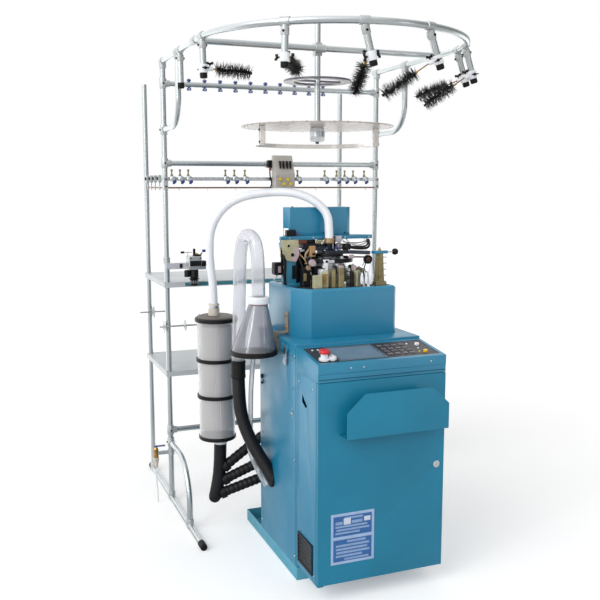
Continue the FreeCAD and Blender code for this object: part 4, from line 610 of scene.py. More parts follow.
def tree_bristles():
    """Bristles wound round a twisted wire: each copy of the drawn bristle leans and varies a little."""
    tree, given = new_tree("bristles_on_wire", [("Count", "NodeSocketInt"), ("Length", "NodeSocketFloat"),
        ("Turns", "NodeSocketFloat"), ("Seed", "NodeSocketInt")])
    number = node(tree, "GeometryNodeInputIndex")
    share = maths(tree, "DIVIDE", number, given["Count"])
    up = maths(tree, "MULTIPLY", share, given["Length"])
    place = node(tree, "ShaderNodeCombineXYZ", Z=up)
    points = node(tree, "GeometryNodePoints", Count=given["Count"], Position=place)
    wound = maths(tree, "MULTIPLY", share, given["Turns"])
    half = maths(tree, "MULTIPLY", number, math.pi)
    loose = node(tree, "FunctionNodeRandomValue", {"data_type": "FLOAT_VECTOR"}, _0=(-0.2, -0.3, -0.55),
        _1=(0.2, 0.3, 0.55), Seed=given["Seed"])
    angle = maths(tree, "ADD", wound, half)
    spin = node(tree, "ShaderNodeCombineXYZ", Z=angle)
    lean = node(tree, "ShaderNodeVectorMath", {"operation": "ADD"}, _0=spin, _1=loose)
    turn = node(tree, "FunctionNodeEulerToRotation", Euler=lean)
    size = node(tree, "FunctionNodeRandomValue", {"data_type": "FLOAT"}, _2=0.72, _3=1.08, Seed=given["Seed"])
    copies = node(tree, "GeometryNodeInstanceOnPoints", Points=points, Instance=given["Geometry"], Rotation=turn,
        Scale=size.outputs[1])
    return end_tree(tree, given, copies)


def object_from(name, shape):
    mesh = bpy.data.meshes.new(name)
    mesh.from_pydata([p * MM for p in shape[0]], [], shape[1])
    return linked(name, mesh)


def grown(tree, holder, material, **values):
    """Run a tree on an object and give back its plain result as a (material, shape) pair."""
    modifier = holder.modifiers.new("copies", "NODES")
    modifier.node_group = tree
    values["Material"] = material
    for socket in tree.interface.items_tree:
        if socket.in_out == "INPUT" and socket.name in values:
            modifier[socket.identifier] = values[socket.name]
    depsgraph = bpy.context.evaluated_depsgraph_get()
    result = bpy.data.meshes.new_from_object(holder.evaluated_get(depsgraph))
    holder.modifiers.remove(modifier)
    shape = ([v.co / MM for v in result.vertices], [tuple(p.vertices) for p in result.polygons])
    bpy.data.meshes.remove(result)
    bpy.data.objects.remove(holder)
    return material, shape


ROUND_AXIS = tree_round_axis()
ALONG_LINE = tree_along_line()
AT_SPOTS = tree_at_spots()
BRISTLES = tree_bristles()


def round_axis(shape, material, count, at=(0, 0, 0)):
    grown_pair = grown(ROUND_AXIS, object_from("drawn", shape), material, Count=count)
    return material, moved(grown_pair[1], Matrix.Translation(at))


def in_a_row(shape, material, count, step):
    return grown(ALONG_LINE, object_from("drawn", shape), material, Count=count, Step=tuple(Vector(step) * MM))


def at_spots(shape, material, spots):
    """The drawn shape at each (place, way); its own Z points along way."""
    drawn = object_from("drawn", shape)
    mesh = bpy.data.meshes.new("spots")
    mesh.from_pydata([Vector(place) * MM for place, _ in spots], [], [])
    ways = mesh.attributes.new("way", "FLOAT_VECTOR", "POINT")
    for number, (_, way) in enumerate(spots):
        ways.data[number].vector = Vector(way).normalized()
    pair = grown(AT_SPOTS, linked("spots", mesh), material, Shape=drawn)
    bpy.data.objects.remove(drawn)
    return pair


def cap_screw(radius):
    """A socket cap screw's head: chamfered rim and a recess, few faces."""
    r = radius
    return turned([(r, 0), (r, r * 0.75), (r * 0.85, r * 0.95), (r * 0.5, r * 0.95), (r * 0.5, r * 0.45),
        (0, r * 0.45)], sides=12)


def screws(spots, radius=4.0, material=PLATED):
    return at_spots(cap_screw(radius), material, spots)


# ================================================================ camera, light and floor
def light_path(tree):
    """The ray's kinds, and whether the surface is seen straight or through something clear."""
    path = node(tree, "ShaderNodeLightPath").outputs
    return path, maths(tree, "MAXIMUM", path["Is Camera Ray"], path["Is Transmission Ray"])


def set_stage():
    lens = bpy.data.cameras.new("camera")
    lens.sensor_width = 36.0
    lens.lens = CAMERA_LENS
    lens.clip_start, lens.clip_end = 0.05, 60.0
    camera = linked("camera", lens)
    camera.location = CAMERA_AT
    camera.rotation_euler = (math.radians(90.0 - CAMERA_PITCH), 0.0, math.radians(-CAMERA_YAW))
    scene.camera = camera
    scene.view_settings.view_transform = "Standard"

    world = bpy.data.worlds.new("studio")
    scene.world = world
    tree = empty_tree(world)
    path, seen = light_path(tree)
    soft = node(tree, "ShaderNodeBackground", Color=(1.0, 1.0, 1.0, 1.0), Strength=0.62)
    # Gloss sees a studio that is bright on the left and behind, and dim at the front right.
    way = node(tree, "ShaderNodeTexCoord").outputs["Generated"]
    lean = node(tree, "ShaderNodeVectorMath", {"operation": "DOT_PRODUCT"}, _0=way, _1=(-0.80, 0.42, 0.40))
    side = node(tree, "ShaderNodeMapRange", {"interpolation_type": "SMOOTHSTEP"}, Value=lean.outputs["Value"],
        From_Min=-0.75, From_Max=0.65, To_Min=0.30, To_Max=1.65)
    mirror = node(tree, "ShaderNodeBackground", Color=(1.0, 1.0, 1.0, 1.0), Strength=side)
    white = node(tree, "ShaderNodeBackground", Color=(1.0, 1.0, 1.0, 1.0), Strength=1.0)
    glossy = node(tree, "ShaderNodeMixShader", _0=path["Is Glossy Ray"], _1=soft, _2=mirror)
    both = node(tree, "ShaderNodeMixShader", _0=seen, _1=glossy, _2=white)
    node(tree, "ShaderNodeOutputWorld", Surface=both)

    for name, strength, spread, way in (("key_from_left", 1.28, 45.0, (0.92, 0.38, -0.70)),
            ("fill_from_front", 0.50, 90.0, (0.1, 1.0, -0.35))):
        lamp = bpy.data.lights.new(name, "SUN")
        lamp.energy = strength
        lamp.angle = math.radians(spread)
        linked(name, lamp).rotation_euler = Vector(way).to_track_quat("-Z", "Y").to_euler()
    for name, power, place in (("strip_left", 16.0, (-3.2, -2.0, 1.9)), ("strip_right", 6.0, (2.2, -3.2, 1.6))):
        lamp = bpy.data.lights.new(name, "AREA")
        lamp.energy = power
        lamp.shape = "RECTANGLE"
        lamp.size, lamp.size_y = 0.25, 2.4
        light = linked(name, lamp)
        light.location = place
        light.rotation_euler = (Vector((0, 0, 1.1)) - light.location).to_track_quat("-Z", "Y").to_euler()

    # Seamless studio paper: pale, matt, its fine tooth only breaks the shadow's edge.
    paper = bpy.data.materials.new("studio_paper")
    tree = empty_tree(paper)
    place = node(tree, "ShaderNodeTexCoord").outputs["Object"]
    tooth = node(tree, "ShaderNodeTexNoise", Vector=place, Scale=300.0, Detail=3.0)
    shade = node(tree, "ShaderNodeMix", {"data_type": "RGBA"}, _0=tooth, _6=(0.80, 0.80, 0.80, 1.0),
        _7=(0.83, 0.83, 0.83, 1.0))
    matt = node(tree, "ShaderNodeBsdfDiffuse", Color=shade.outputs[2])
    path, seen = light_path(tree)
    glow = node(tree, "ShaderNodeEmission", Color=(1.0, 1.0, 1.0, 1.0), Strength=0.30)
    # Painted glow: the floor behind the body gives off light seen only in gloss, a painted sheen on the body's side.
    depth = node(tree, "ShaderNodeSeparateXYZ", Vector=place).outputs[1]
    behind = node(tree, "ShaderNodeMapRange", {"interpolation_type": "SMOOTHSTEP"}, Value=depth, From_Min=0.3,
        From_Max=2.2, To_Max=1.15)
    share = maths(tree, "MULTIPLY", path["Is Glossy Ray"], behind)
    gloss_only_glow = node(tree, "ShaderNodeEmission", Color=(1.0, 1.0, 1.0, 1.0), Strength=share)
    lit = node(tree, "ShaderNodeMixShader", _0=seen, _1=gloss_only_glow, _2=glow)
    both = node(tree, "ShaderNodeAddShader", _0=matt, _1=lit)
    node(tree, "ShaderNodeOutputMaterial", Surface=both)
    mesh = bpy.data.meshes.new("floor")
    mesh.from_pydata([(-30, -30, 0), (30, -30, 0), (30, 30, 0), (-30, 30, 0)], [], [(0, 1, 2, 3)])
    mesh.materials.append(paper)
    floor = linked("floor", mesh)


set_stage()


# ================================================================ body, cabinet and console
def on_console(x, y, z):
    """A point drawn on a level top (y from the front edge, z over the surface), laid on the slope."""
    laid = Matrix.Rotation(CONSOLE_SLOPE, 3, "X") @ Vector((x, y, z))
    return laid + Vector((0, CAB_FRONT, CONSOLE_FRONT_Z))


CONSOLE = Matrix.Translation((0, CAB_FRONT, CONSOLE_FRONT_Z)) @ Matrix.Rotation(CONSOLE_SLOPE, 4, "X")


def make_body():
    dressed("base_tray", TEAL_PALE, 1)
    left = -RIGHT
    side_screws = screws([((-BODY_HALF, y, z), left) for y in (-272, 110) for z in (90, 470, 868)], 4)
    front_seam = block(-BODY_HALF - 0.6, -BODY_HALF + 1, -283, -281.4, 58, 900, 0.2)
    panel_seam = block(-BODY_HALF - 0.6, -BODY_HALF + 1, -283, 122, 862, 863.6, 0.2)
    dressed("main_cabinet", TEAL, 1.6, extra=[side_screws, (BLACKENED, front_seam), (BLACKENED, panel_seam)])
    dressed("pedestal_cover", TEAL, 2.2)
    dressed("bed_plate", GROUND, 1)
    dressed("control_cabinet", TEAL, 0.8,
        extra=[screws([((-BODY_HALF, y, z), left) for y, z in ((-452, 786), (-318, 786), (-466, 98))], 3.5)])
    dressed("cabinet_door", TEAL_DEEP, 1)
    dressed("document_tray", TEAL_DEEP, 0.5)
    front = -BACK
    dressed("console_top", TEAL, 1, extra=[screws([((x, CAB_FRONT, 862), front) for x in (-130, -80, 190)], 3.2),
        (BLACKENED, block(-BODY_HALF + 2, BODY_HALF - 2, CAB_FRONT - 0.3, CAB_FRONT + 0.5, 826, 827.2, 0.1))])
    dressed("fan_grille", BLACKENED, 0.6)
    dressed("body_latch", PLATED, 0.8)
    side = -BODY_HALF
    fittings = [
        (PLATED, block(side - 4, side + 0.4, -258, -236, 640, 652, 0.8)),
        (BLACK_ABS, turned([(9, 0), (9, 5), (7.6, 6.2), (4.2, 6.2), (4.2, 4.2), (0, 4.2)], (side, 104, 712), left,
            20)),
        (BLACK_ABS, turned([(6, 0), (6, 4), (5, 5), (0, 5)], (side, 104, 684), left, 18)),
        (BLACK_ABS, turned([(6, 0), (6, 4), (5, 5), (0, 5)], (side, 98, 800), left, 18)),
        (BLUED, block(side - 1.6, side + 0.4, 84, 110, 690, 700, 0.3)),
        screws([((side, -262, 746), left)], 3.4, BRASS),
        screws([((side, -247, z), left) for z in (662, 631)], 2.6),
        screws([((side, y, 850), left) for y in (-250, -120)], 3, BRASS)]
    assemble("side_fittings", "frame", fittings)
    dressed("door_lock", PLATED, 0.5)


def make_console():
    dressed("console_insert", PANEL_DARK, 0.3)
    dressed("display_panel", BEZEL, 0.4)
    film = moved(block(-149.5, 19.5, 38.5, 163.5, -0.55, -0.25, 0.05), CONSOLE)
    parts = [(DISPLAY, film), (SERVO_SHELL, moved(block(-22, 4, 167, 172.5, -0.6, -0.1, 0.1), CONSOLE))]
    slope = Matrix.Rotation(CONSOLE_SLOPE, 3, "X")
    # Four small key caps on each raised key of the pad, in rows of alternating tone.
    cap = moved(block(45.6, 51.6, 47.6, 53.6, -0.4, 0.5, 0.3), CONSOLE)
    for row in range(8):
        lift = slope @ Vector((0, 30 * (row // 2) + 10.6 * (row % 2), 0))
        for column in range(2):
            start = Matrix.Translation(lift + Vector((10.6 * column, 0, 0)))
            parts.append(in_a_row(moved(cap, start), PINK_GREY if row % 3 == 1 else KEY_GREY, 4, (30, 0, 0)))
    lamp = turned([(4, 0), (4, 1.5), (2.6, 2.8), (0, 3.2)], sides=14)
    for material, places in ((YELLOW_LENS, ((176, 60),)),
            (WHITE_NYLON, ((170, 150), (190, 96), (-190, 158), (-212, 158))), (RED_CAP, ((226, 158),))):
        spots = [(on_console(x, y, LAMP_SINK), slope @ UP) for x, y in places]
        parts.append(at_spots(lamp, material, spots))
    assemble("console_fields", "frame", parts)

    x, y = -212, 48
    collar = turned([(13.4, 0.1), (19, 0.1), (19, 6), (16, 8), (13.4, 8.5), (13.4, 0.1)], sides=40)
    stem = turned([(0, -6), (13, -6), (13, 25), (12, 27), (0, 27)], sides=40)
    cap = turned([(12.5, 24.5), (19, 26.5), (20, 29), (20, 33), (18.5, 36.5), (14, 39), (8, 39.9), (0, 40)], sides=48)
    place = CONSOLE @ Matrix.Translation((x, y, 0))
    assemble("stop_collar", "frame", [(WHITE_NYLON, moved(collar, place))])
    assemble("stop_mushroom", "stop_head", [(WHITE_NYLON, moved(stem, place)), (RED_CAP, moved(cap, place))],
        instead=("estop_button",))
    x, y = -184, 40
    place = CONSOLE @ Matrix.Translation((x, y, 0))
    skirt = turned([(8, -6), (8, 2.5), (14.6, 3.1), (15, 5), (14.2, 13.5), (13, 15), (0, 15)], sides=40)
    grip = slab([(-3.5, -13), (3.5, -13), (3, 0), (3.5, 13), (-3.5, 13), (-3, 0)], 14, 6.2, 1.2, 2)
    assemble("selector_switch", "selector", [(WHITE_NYLON, moved(skirt, place)), (WHITE_NYLON, moved(grip, place))],
        instead=("selector_knob",))
    for name, body, x, y, material in (("jog_button", "jog", 204, 132, WHITE_NYLON),
            ("start_button", "start", 196, 52, YELLOW_LENS)):
        place = CONSOLE @ Matrix.Translation((x, y, 0))
        cap = turned([(8.9, -6), (8.9, -1), (9, 5.4), (7.6, 6.9), (5, 6.6), (0, 6.5)], sides=32)
        assemble(name + "_cap", body, [(material, moved(cap, place))], instead=(name,))


def make_label():
    """Blue plate on the door with a pale edge and blank printed fields, riveted at its corners."""
    y = CAB_FRONT

    def field(x0, x1, z0, z1, depth):
        return block(x0, x1, y - depth, y - depth + 0.4, z0, z1, 0.1)

    parts = [(LABEL_EDGE, block(-203, -32, y - 1, y + 0.5, 143, 333, 0.4))]
    for z0, z1 in ((153, 235), (247, 323)):
        parts.append((LABEL_FILM, field(-194, -42, z0, z1, 1.2)))
    rows = ((311, 318, -150, -78), (292, 303, -186, -158), (292, 303, -122, -80), (280, 287, -186, -60),
        (268, 275, -182, -52), (256, 263, -186, -90), (222, 230, -140, -66), (208, 216, -184, -52),
        (195, 203, -184, -60), (182, 190, -182, -50), (169, 177, -184, -80), (157, 164, -150, -54))
    for z0, z1, x0, x1 in rows:
        parts.append((LABEL_MID, field(x0, x1, z0, z1, 1.4)))
    for x0, x1, z0, z1 in ((-154, -126, 290, 314), (-73, -48, 294, 311)):
        parts.append((LABEL_PALE, field(x0, x1, z0, z1, 1.6)))
    parts.append(screws([((x, y - 0.9, z), -BACK) for x in (-198.5, -36.5) for z in (148, 328)], 2))
    assemble("door_label", "door", parts)


make_body()
make_console()
make_label()


# ================================================================ creel
def tee(at, along, out, girth=16.4):
    """A die-cast T clamp: a collar round one tube and a branch for the other."""
    at, along, out = Vector(at), Vector(along).normalized(), Vector(out).normalized()
    half, branch = 23, 30
    collar = turned([(13.2, -half), (girth - 0.8, -half + 1), (girth, -half + 4), (girth, half - 4),
        (girth - 0.8, half - 1), (13.2, half)], at, along, 28)
    stub = turned([(10, 0), (16, 8), (16, branch - 3), (15.2, branch), (13, branch)], at, out, 28)
    return joined(collar, stub)


def make_creel_tubes():
    posts = []
    for x in (LEFT_POST, RIGHT_POST):
        posts += [
            (TUBE_METAL, tube((x, POST_FRONT, POST_FOOT), (x, POST_FRONT, RING_Z - TUBE))),
            (TUBE_METAL, tube((x, POST_REAR, POST_FOOT), (x, POST_REAR, 1985)))]
    assemble("post_tubes", "frame", posts, instead=("creel_posts",))

    stays = []
    for x in (LEFT_POST, RIGHT_POST):
        stays += [
            (TUBE_METAL, swept(rounded_route([(x, POST_FRONT - TUBE, STAY_LOW), (x, STAY_FOOT_Y, STAY_LOW),
                (x, STAY_FOOT_Y, POST_FOOT)], [180]), TUBE, 28)),
            (TUBE_METAL, swept(rounded_route([(x, POST_FRONT - TUBE, STAY_TOP), (x, STAY_HEAD_Y, STAY_TOP),
                (x, STAY_HEAD_Y, RING_Z - TUBE)], [120]), TUBE, 28))]
    assemble("stay_tubes", "frame", stays, instead=("corner_stays",))

    end = POST_FRONT + TUBE
    front = RING_CENTRE.y - RING_R
    line = rounded_route([(LEFT_POST, end, RING_Z), (LEFT_POST, front, RING_Z), (RIGHT_POST, front, RING_Z),
        (RIGHT_POST, end, RING_Z)], [RING_R - 0.05] * 2, 2.5)
    assemble("ring_tube_round", "frame", [(TUBE_METAL, swept(line, TUBE, 28))], instead=("ring_tube",))

    rails = []
    for x in (LEFT_POST, RIGHT_POST):
        rails.append((TUBE_METAL, tube((x, FOOT_FRONT, FOOT_Z), (x, FOOT_REAR, FOOT_Z))))
    left, right = LEFT_POST + TUBE, RIGHT_POST - TUBE
    for y, z in ((POST_FRONT, RAIL_TOP), (POST_FRONT, RAIL_MID), (POST_FRONT, RAIL_LOW), (CHORD_Y, RING_Z)):
        rails.append((TUBE_METAL, tube((left, y, z), (right, y, z))))
    rails += [
        (PLATED, block(LEFT_POST + 2, RIGHT_POST - 2, BAR_Y, BAR_Y + 4, 1514, 1530, 0.6)),
        (COPPER, rod((LEFT_POST + 2, BAR_Y + 2, PIN_ROD_Z), (RIGHT_POST - 2, BAR_Y + 2, PIN_ROD_Z), 3.5, 14))]
    for x in (LEFT_POST, RIGHT_POST):
        rails += [
            (ZINC, block(x - 10, x + 10, BAR_Y - 3, POST_FRONT - 8, 1474, 1531, 1.5)),
            screws([((x, BAR_Y - 3, z), -BACK) for z in (1488, 1520)], 4, BLACKENED)]
    pin = rod((LEFT_POST + 60, BAR_Y + 2, 1468), (LEFT_POST + 60, BAR_Y + 2, PIN_ROD_Z), 2, 10)
    rails.append(in_a_row(pin, WHITE_NYLON, 8, ((2 * RING_R - 120) / 7, 0, 0)))
    assemble("rail_tubes", "frame", rails, instead=("creel_rails",))

    joints = []
    spots = []
    for x, way in ((LEFT_POST, 1), (RIGHT_POST, -1)):
        inward = RIGHT * way
        for z in (RAIL_TOP, RAIL_MID, RAIL_LOW):
            joints.append((ZINC, tee((x, POST_FRONT, z), UP, inward)))
            spots.append(((x, POST_FRONT - 16, z), -BACK))
        joints.append((ZINC, tee((x, CHORD_Y, RING_Z), BACK, inward)))
        for y in (POST_FRONT, POST_REAR, STAY_FOOT_Y):
            joints.append((ZINC, tee((x, y, FOOT_Z), BACK, UP, girth=14.8)))
        joints += [
            (ZINC, tee((x, POST_FRONT, STAY_LOW), UP, -BACK)),
            (ZINC, tee((x, POST_FRONT, STAY_TOP), UP, -BACK)),
            (ZINC, tee((x, STAY_HEAD_Y, RING_Z), BACK, -UP)),
            (ZINC, tee((x, POST_FRONT - 4, RING_Z), BACK, -UP))]
        for z in (STAY_LOW, STAY_TOP):
            spots.append(((x - way * 16, POST_FRONT, z), -inward))
    joints.append(screws(spots, 4.2, BLACKENED))
    assemble("tube_fittings", "frame", joints)


# angle round the ring, then the lean of the drop tube's foot
HANGERS = ((180, 2), (184, 4), (230, -2), (259, 38), (287, 50), (336, 48), (349, 50))
HANGER_DROP = 138
BRUSH_TIPS = ((1, (-322, 0, 1914)), (2, (-213, -200, 1905)), (3, (-50, -330, 1816)), (4, (46, -360, 1810)),
    (5, (338, -150, 1803)), (6, (352, -60, 1846)))


def hanger(number):
    """Top point and direction of one drop tube."""
    angle = math.radians(HANGERS[number][0])
    top = RING_CENTRE + Vector((math.cos(angle), math.sin(angle), 0)) * RING_R
    if number == 0:
        top.y = 340
    top.z = RING_Z - TUBE - 0.3
    return top, Vector((HANGERS[number][1], 0, -HANGER_DROP)).normalized(), angle


def make_hangers():
    drops, knobs, caps = [], [], []
    for number in range(len(HANGERS)):
        top, way, angle = hanger(number)
        along = Vector((-math.sin(angle), math.cos(angle), 0)) if number else BACK
        drops.append((TUBE_METAL, swept([top, top + way * (HANGER_DROP - TUBE)], TUBE, 28)))
        centre = Vector((top.x, top.y, RING_Z))
        drops += [
            (ZINC, turned([(13, -19), (15.4, -18), (15.8, -15), (15.8, 15), (15.4, 18), (13, 19)], centre, along,
                28)),
            (ZINC, turned([(13, 4), (15, 6), (15, 30), (14.2, 32), (13, 32)], top, way, 28))]
        side = way.cross(along).normalized()
        knobs += [(top + way * 20 + side * 14.5, side), (top + way * 20 - side * 14.5, -side)]
        foot = top + way * (HANGER_DROP - TUBE)
        caps.append((RUBBER, turned([(12.5, -9), (14, -8.4), (14, 9), (12.6, 13), (9, 14), (0, 14)], foot, way, 28)))
    drops.append(screws(knobs, 4.4, BLACKENED))
    assemble("drop_tubes", "frame", drops, instead=("ring_hangers",))
    for x in (LEFT_POST, RIGHT_POST):
        for y, way in ((FOOT_FRONT, -1), (FOOT_REAR, 1)):
            caps.append((RUBBER, turned([(12.6, -14), (15, -13), (15, 30), (14, 34.5), (11, 36), (0, 36)],
                (x, y, FOOT_Z), BACK * way, 28)))
    assemble("rubber_caps", "frame", caps, instead=("tube_caps",))


def make_brushes():
    parts = []
    bristle = ([Vector(p) for p in ((2, -1.5, -0.9), (2, 1.5, -0.9), (2, 0, 1.7), (36, 0, 0))],
        [(0, 2, 1), (0, 1, 3), (1, 2, 3), (2, 0, 3)])
    knobs = []
    for number, tip in BRUSH_TIPS:
        top, way, _ = hanger(number)
        clamp = top + way * BRUSH_CLAMP
        end = Vector(tip)
        away = end - clamp
        away = (away - way * away.dot(way)).normalized()
        parts += [
            (WHITE_NYLON, turned([(12.8, -16), (16.6, -15), (17.2, -12), (17.2, 12), (16.6, 15), (12.8, 16)], clamp,
                way, 32)),
            (WHITE_NYLON, rod(clamp + away * 13, clamp + away * 36, 9, 24, 1.5))]
        side = way.cross(away).normalized()
        knobs += [(clamp + side * 17, side), (clamp - side * 17, -side), (clamp + away * 26 - way * 8, -way)]
        start = clamp + away * 26.5
        along = (end - start).normalized()
        root = end - along * BRUSH_LENGTH
        parts += [
            (COPPER, rod(start, end - along * 4, 2.4, 12)),
            (BRASS, turned([(2.4, -5), (5, -4), (5, 3), (2.4, 4)], root, along, 16)),
            (BLACK_ABS, turned([(0, -8), (4.4, -6), (5.6, -2), (5, 1.5), (0, 2.5)], end - along * 2.5, along, 16)),
            (BRISTLE, rod(root, root + along * 136, 3.4, 10))]
        made = grown(BRISTLES, object_from("bristle", bristle), BRISTLE, Count=BRISTLE_COUNT, Length=0.134,
            Turns=58.0, Seed=number + 3)
        way_z, first, second = frame_of(along)
        laid = Matrix((first, second, way_z)).transposed().to_4x4()
        parts.append((BRISTLE, moved(made[1], Matrix.Translation(root + along * 2) @ laid)))
    # Wing knob: a hub on a short stem with two flat wings.
    hub = turned([(2.6, 0), (2.6, 5), (5.4, 5.6), (6, 8), (5.2, 13), (3.5, 14), (0, 14)], sides=14)
    wings = joined(hub, block(-13.5, -4.5, -2.2, 2.2, 7, 17, 1.2), block(4.5, 13.5, -2.2, 2.2, 7, 17, 1.2))
    parts.append(at_spots(wings, BLACK_ABS, knobs))
    assemble("brush_set", "frame", parts, instead=("brushes",))


def make_guides():
    parts = []
    y = POST_FRONT
    for way in (1, -1):
        z = RAIL_TOP + way * TUBE
        if way > 0:
            stem = turned([(5, -1), (5, 2), (9.2, 2.6), (10, 5.5), (9.2, 9), (6.6, 12.4), (3, 13.8), (0, 14)],
                (-399, y, z), UP, 20)
        else:
            stem = joined(block(-408, -390, y - 7.5, y + 7.5, z - 14, z - 2.4, 1.2),
                turned([(4, 0), (4, 4)], (-399, y, z - 3), UP, 14))
        parts.append(in_a_row(stem, BLUE_NYLON, 10, (73, 0, 0)))
        eye = ring(1.8, 4.2, -0.9, 0.9, (-399, y - 7.6, z + way * 8), BACK, 16, 0.4)
        parts.append(in_a_row(eye, SERVO_SHELL, 10, (73, 0, 0)))
    # The studs on the pin bar are cream castings painted olive-dark: painted shade.
    for x in (-490, -452, -414, -239, -196, -145, 118, 259, 322, 365, 410, 470):
        parts += [
            (ZINC, block(x - 8, x + 8, BAR_Y - 18, BAR_Y, 1512, 1534, 1.6)),
            (SHADED_CREAM, turned([(4, 0), (6.5, 1), (6.5, 6), (4.4, 8), (3.4, 10), (3.4, 22), (5.4, 24), (5.4, 30),
                (0, 31)], (x - 3, BAR_Y - 9, 1534), UP, 20))]
        disc = turned([(3, 0), (9, 0.4), (13, 2.6), (13.4, 3), (12.8, 3), (8.5, 1.4), (3, 1.2)], sides=28)
        for gap, angle in ((20.5, 0.5), (27, -0.5)):
            parts.append((PLATED, moved(disc, Matrix.Translation((x, BAR_Y - gap, 1522))
                @ Matrix.Rotation(math.pi * angle, 4, "X"))))
        parts += [
            (BLUE_NYLON, turned([(2, 0), (7.5, 0.5), (9, 3), (8, 5.6), (0, 6.5)], (x + 7, BAR_Y - 20, 1510), -BACK,
                18)),
            (BLUED, turned([(3, 0), (6, 2), (5, 12), (0, 14)], (x + 5, BAR_Y - 16, 1498), UP, 14))]
    parts += [
        (ZINC, block(LEFT_POST - 4, LEFT_POST, POST_FRONT + 13, POST_REAR - 13, 1514, 1530, 0.6)),
        (COPPER, rod((LEFT_POST - 2, POST_FRONT + 13, PIN_ROD_Z), (LEFT_POST - 2, POST_REAR + 20, PIN_ROD_Z), 3.5,
            14))]
    for y in (770, 870, 960, 1050):
        parts += [
            (ZINC, block(LEFT_POST - 14, LEFT_POST + 2, y - 8, y + 8, 1506, 1540, 1.6)),
            (BLACKENED, turned([(4, 0), (8, 1), (8, 5), (4, 7), (0, 7)], (LEFT_POST - 14, y, 1524), -RIGHT, 18)),
            (ZINC, rod((LEFT_POST - 6, y, 1470), (LEFT_POST - 6, y, 1506), 3, 12))]
    assemble("guide_set", "frame", parts, instead=("yarn_guides",))


make_creel_tubes()
make_hangers()
make_brushes()
make_guides()


def make_discs():
    at = DISC_AT
    x, y = at[:2]
    plate = turned([(13, 1728.4), (13, 1732.6), (311, 1732.6), (312, 1731.8), (312, 1729), (311, 1728.2),
        (13, 1728.2), (13, 1728.4)], at, UP, 96)
    parts = [(FROSTED, plate)]
    eyelet = moved(turned([(1.6, -2.6), (3.4, -2.8), (3.6, -2), (2.4, -1.4), (2.4, 2.4), (3.6, 3), (3.4, 3.6),
        (1.6, 3.4), (1.6, -2.6)], sides=10), Matrix.Translation((300, 0, 1730.5)))
    parts.append(round_axis(eyelet, BLACKENED, 36, at))
    points, faces = [], []
    for number in range(HOOP_STEPS + 1):
        angle = math.radians(HOOP_START + HOOP_SWEEP * number / HOOP_STEPS)
        spot = Vector((x + math.cos(angle) * HOOP_R, y + math.sin(angle) * HOOP_R, HOOP_Z))
        outward = (spot - Vector((x, y, HOOP_Z))).normalized()
        for reach, rise in ((-1.5, -9), (1.5, -9), (1.5, 9), (-1.5, 9)):
            points.append(spot + outward * reach + UP * rise)
        if number:
            low, high = 4 * (number - 1), 4 * number
            faces += [(low + i, low + (i + 1) % 4, high + (i + 1) % 4, high + i) for i in range(4)]
    last = 4 * HOOP_STEPS
    faces += [(3, 2, 1, 0), (last, last + 1, last + 2, last + 3)]
    parts.append((ACRYLIC, (points, faces)))
    for angle in (HOOP_START, HOOP_START + HOOP_SWEEP):
        turn = Matrix.Translation(at) @ about_z(angle)
        parts.append((ACRYLIC, moved(block(242, 264, -9, 9, 1653, 1728, 1.5), turn)))
        spots = [(turn @ Vector((264, 0, z)), turn.to_3x3() @ RIGHT) for z in (1664, 1712)]
        parts.append(screws(spots, 4, BLACKENED))
    guide = turned([(96, 1908.6), (97, 1908), (137, 1908), (138, 1909), (138, 1915), (137, 1916), (97, 1916),
        (96, 1915.4), (96, 1908.6)], at, UP, 72)
    parts.append((GUIDE_SMOKE, guide))
    for way in (-1, 1):
        near, far = sorted((x + way * 12.9, x + way * 99))
        parts.append((GUIDE_SMOKE, block(near, far, y - 9, y + 9, 1908, 1916, 0.8)))
    hole = moved(turned([(2.2, -4.6), (4.2, -4.8), (4.4, -4), (3, -3.8), (3, 3.8), (4.4, 4), (4.2, 4.8), (2.2, 4.6),
        (2.2, -4.6)], sides=12), Matrix.Translation((117, 0, 1912)))
    parts.append(round_axis(hole, WHITE_NYLON, 16, at))
    assemble("disc_set", "frame", parts, instead=("yarn_discs",))

    pole = [
        (TUBE_METAL, tube((x, y, 1728), (x, y, 2160))),
        (WHITE_NYLON, turned([(22, 1670), (27, 1672), (30, 1678), (30, 1720), (26, 1727), (14, 1728)], at, UP, 40)),
        (PLATED, ring(29.6, 31, 1690, 1712, at, UP, 40, 0.3)),
        (BLACKENED, turned([(7, 1662), (7, 1670)], at, UP, 6)),
        (ZINC, block(x - 16, x + 16, 107.5, 137.5, RING_Z - 26, RING_Z + 26, 2.5)),
        (ZINC, sleeve((x, CHORD_Y, RING_Z), RIGHT, 22)),
        screws([((x + dx, 137.5, RING_Z + dz), BACK) for dx in (-9, 9) for dz in (-18, 18)], 3.6, BLACKENED),
        (BLACK_ABS, turned([(12.5, -2), (13.2, -1), (13.2, 0), (0, 0)], (x, y, 2160), UP, 28))]
    assemble("disc_pole", "frame", pole, instead=("disc_tube",))


make_discs()


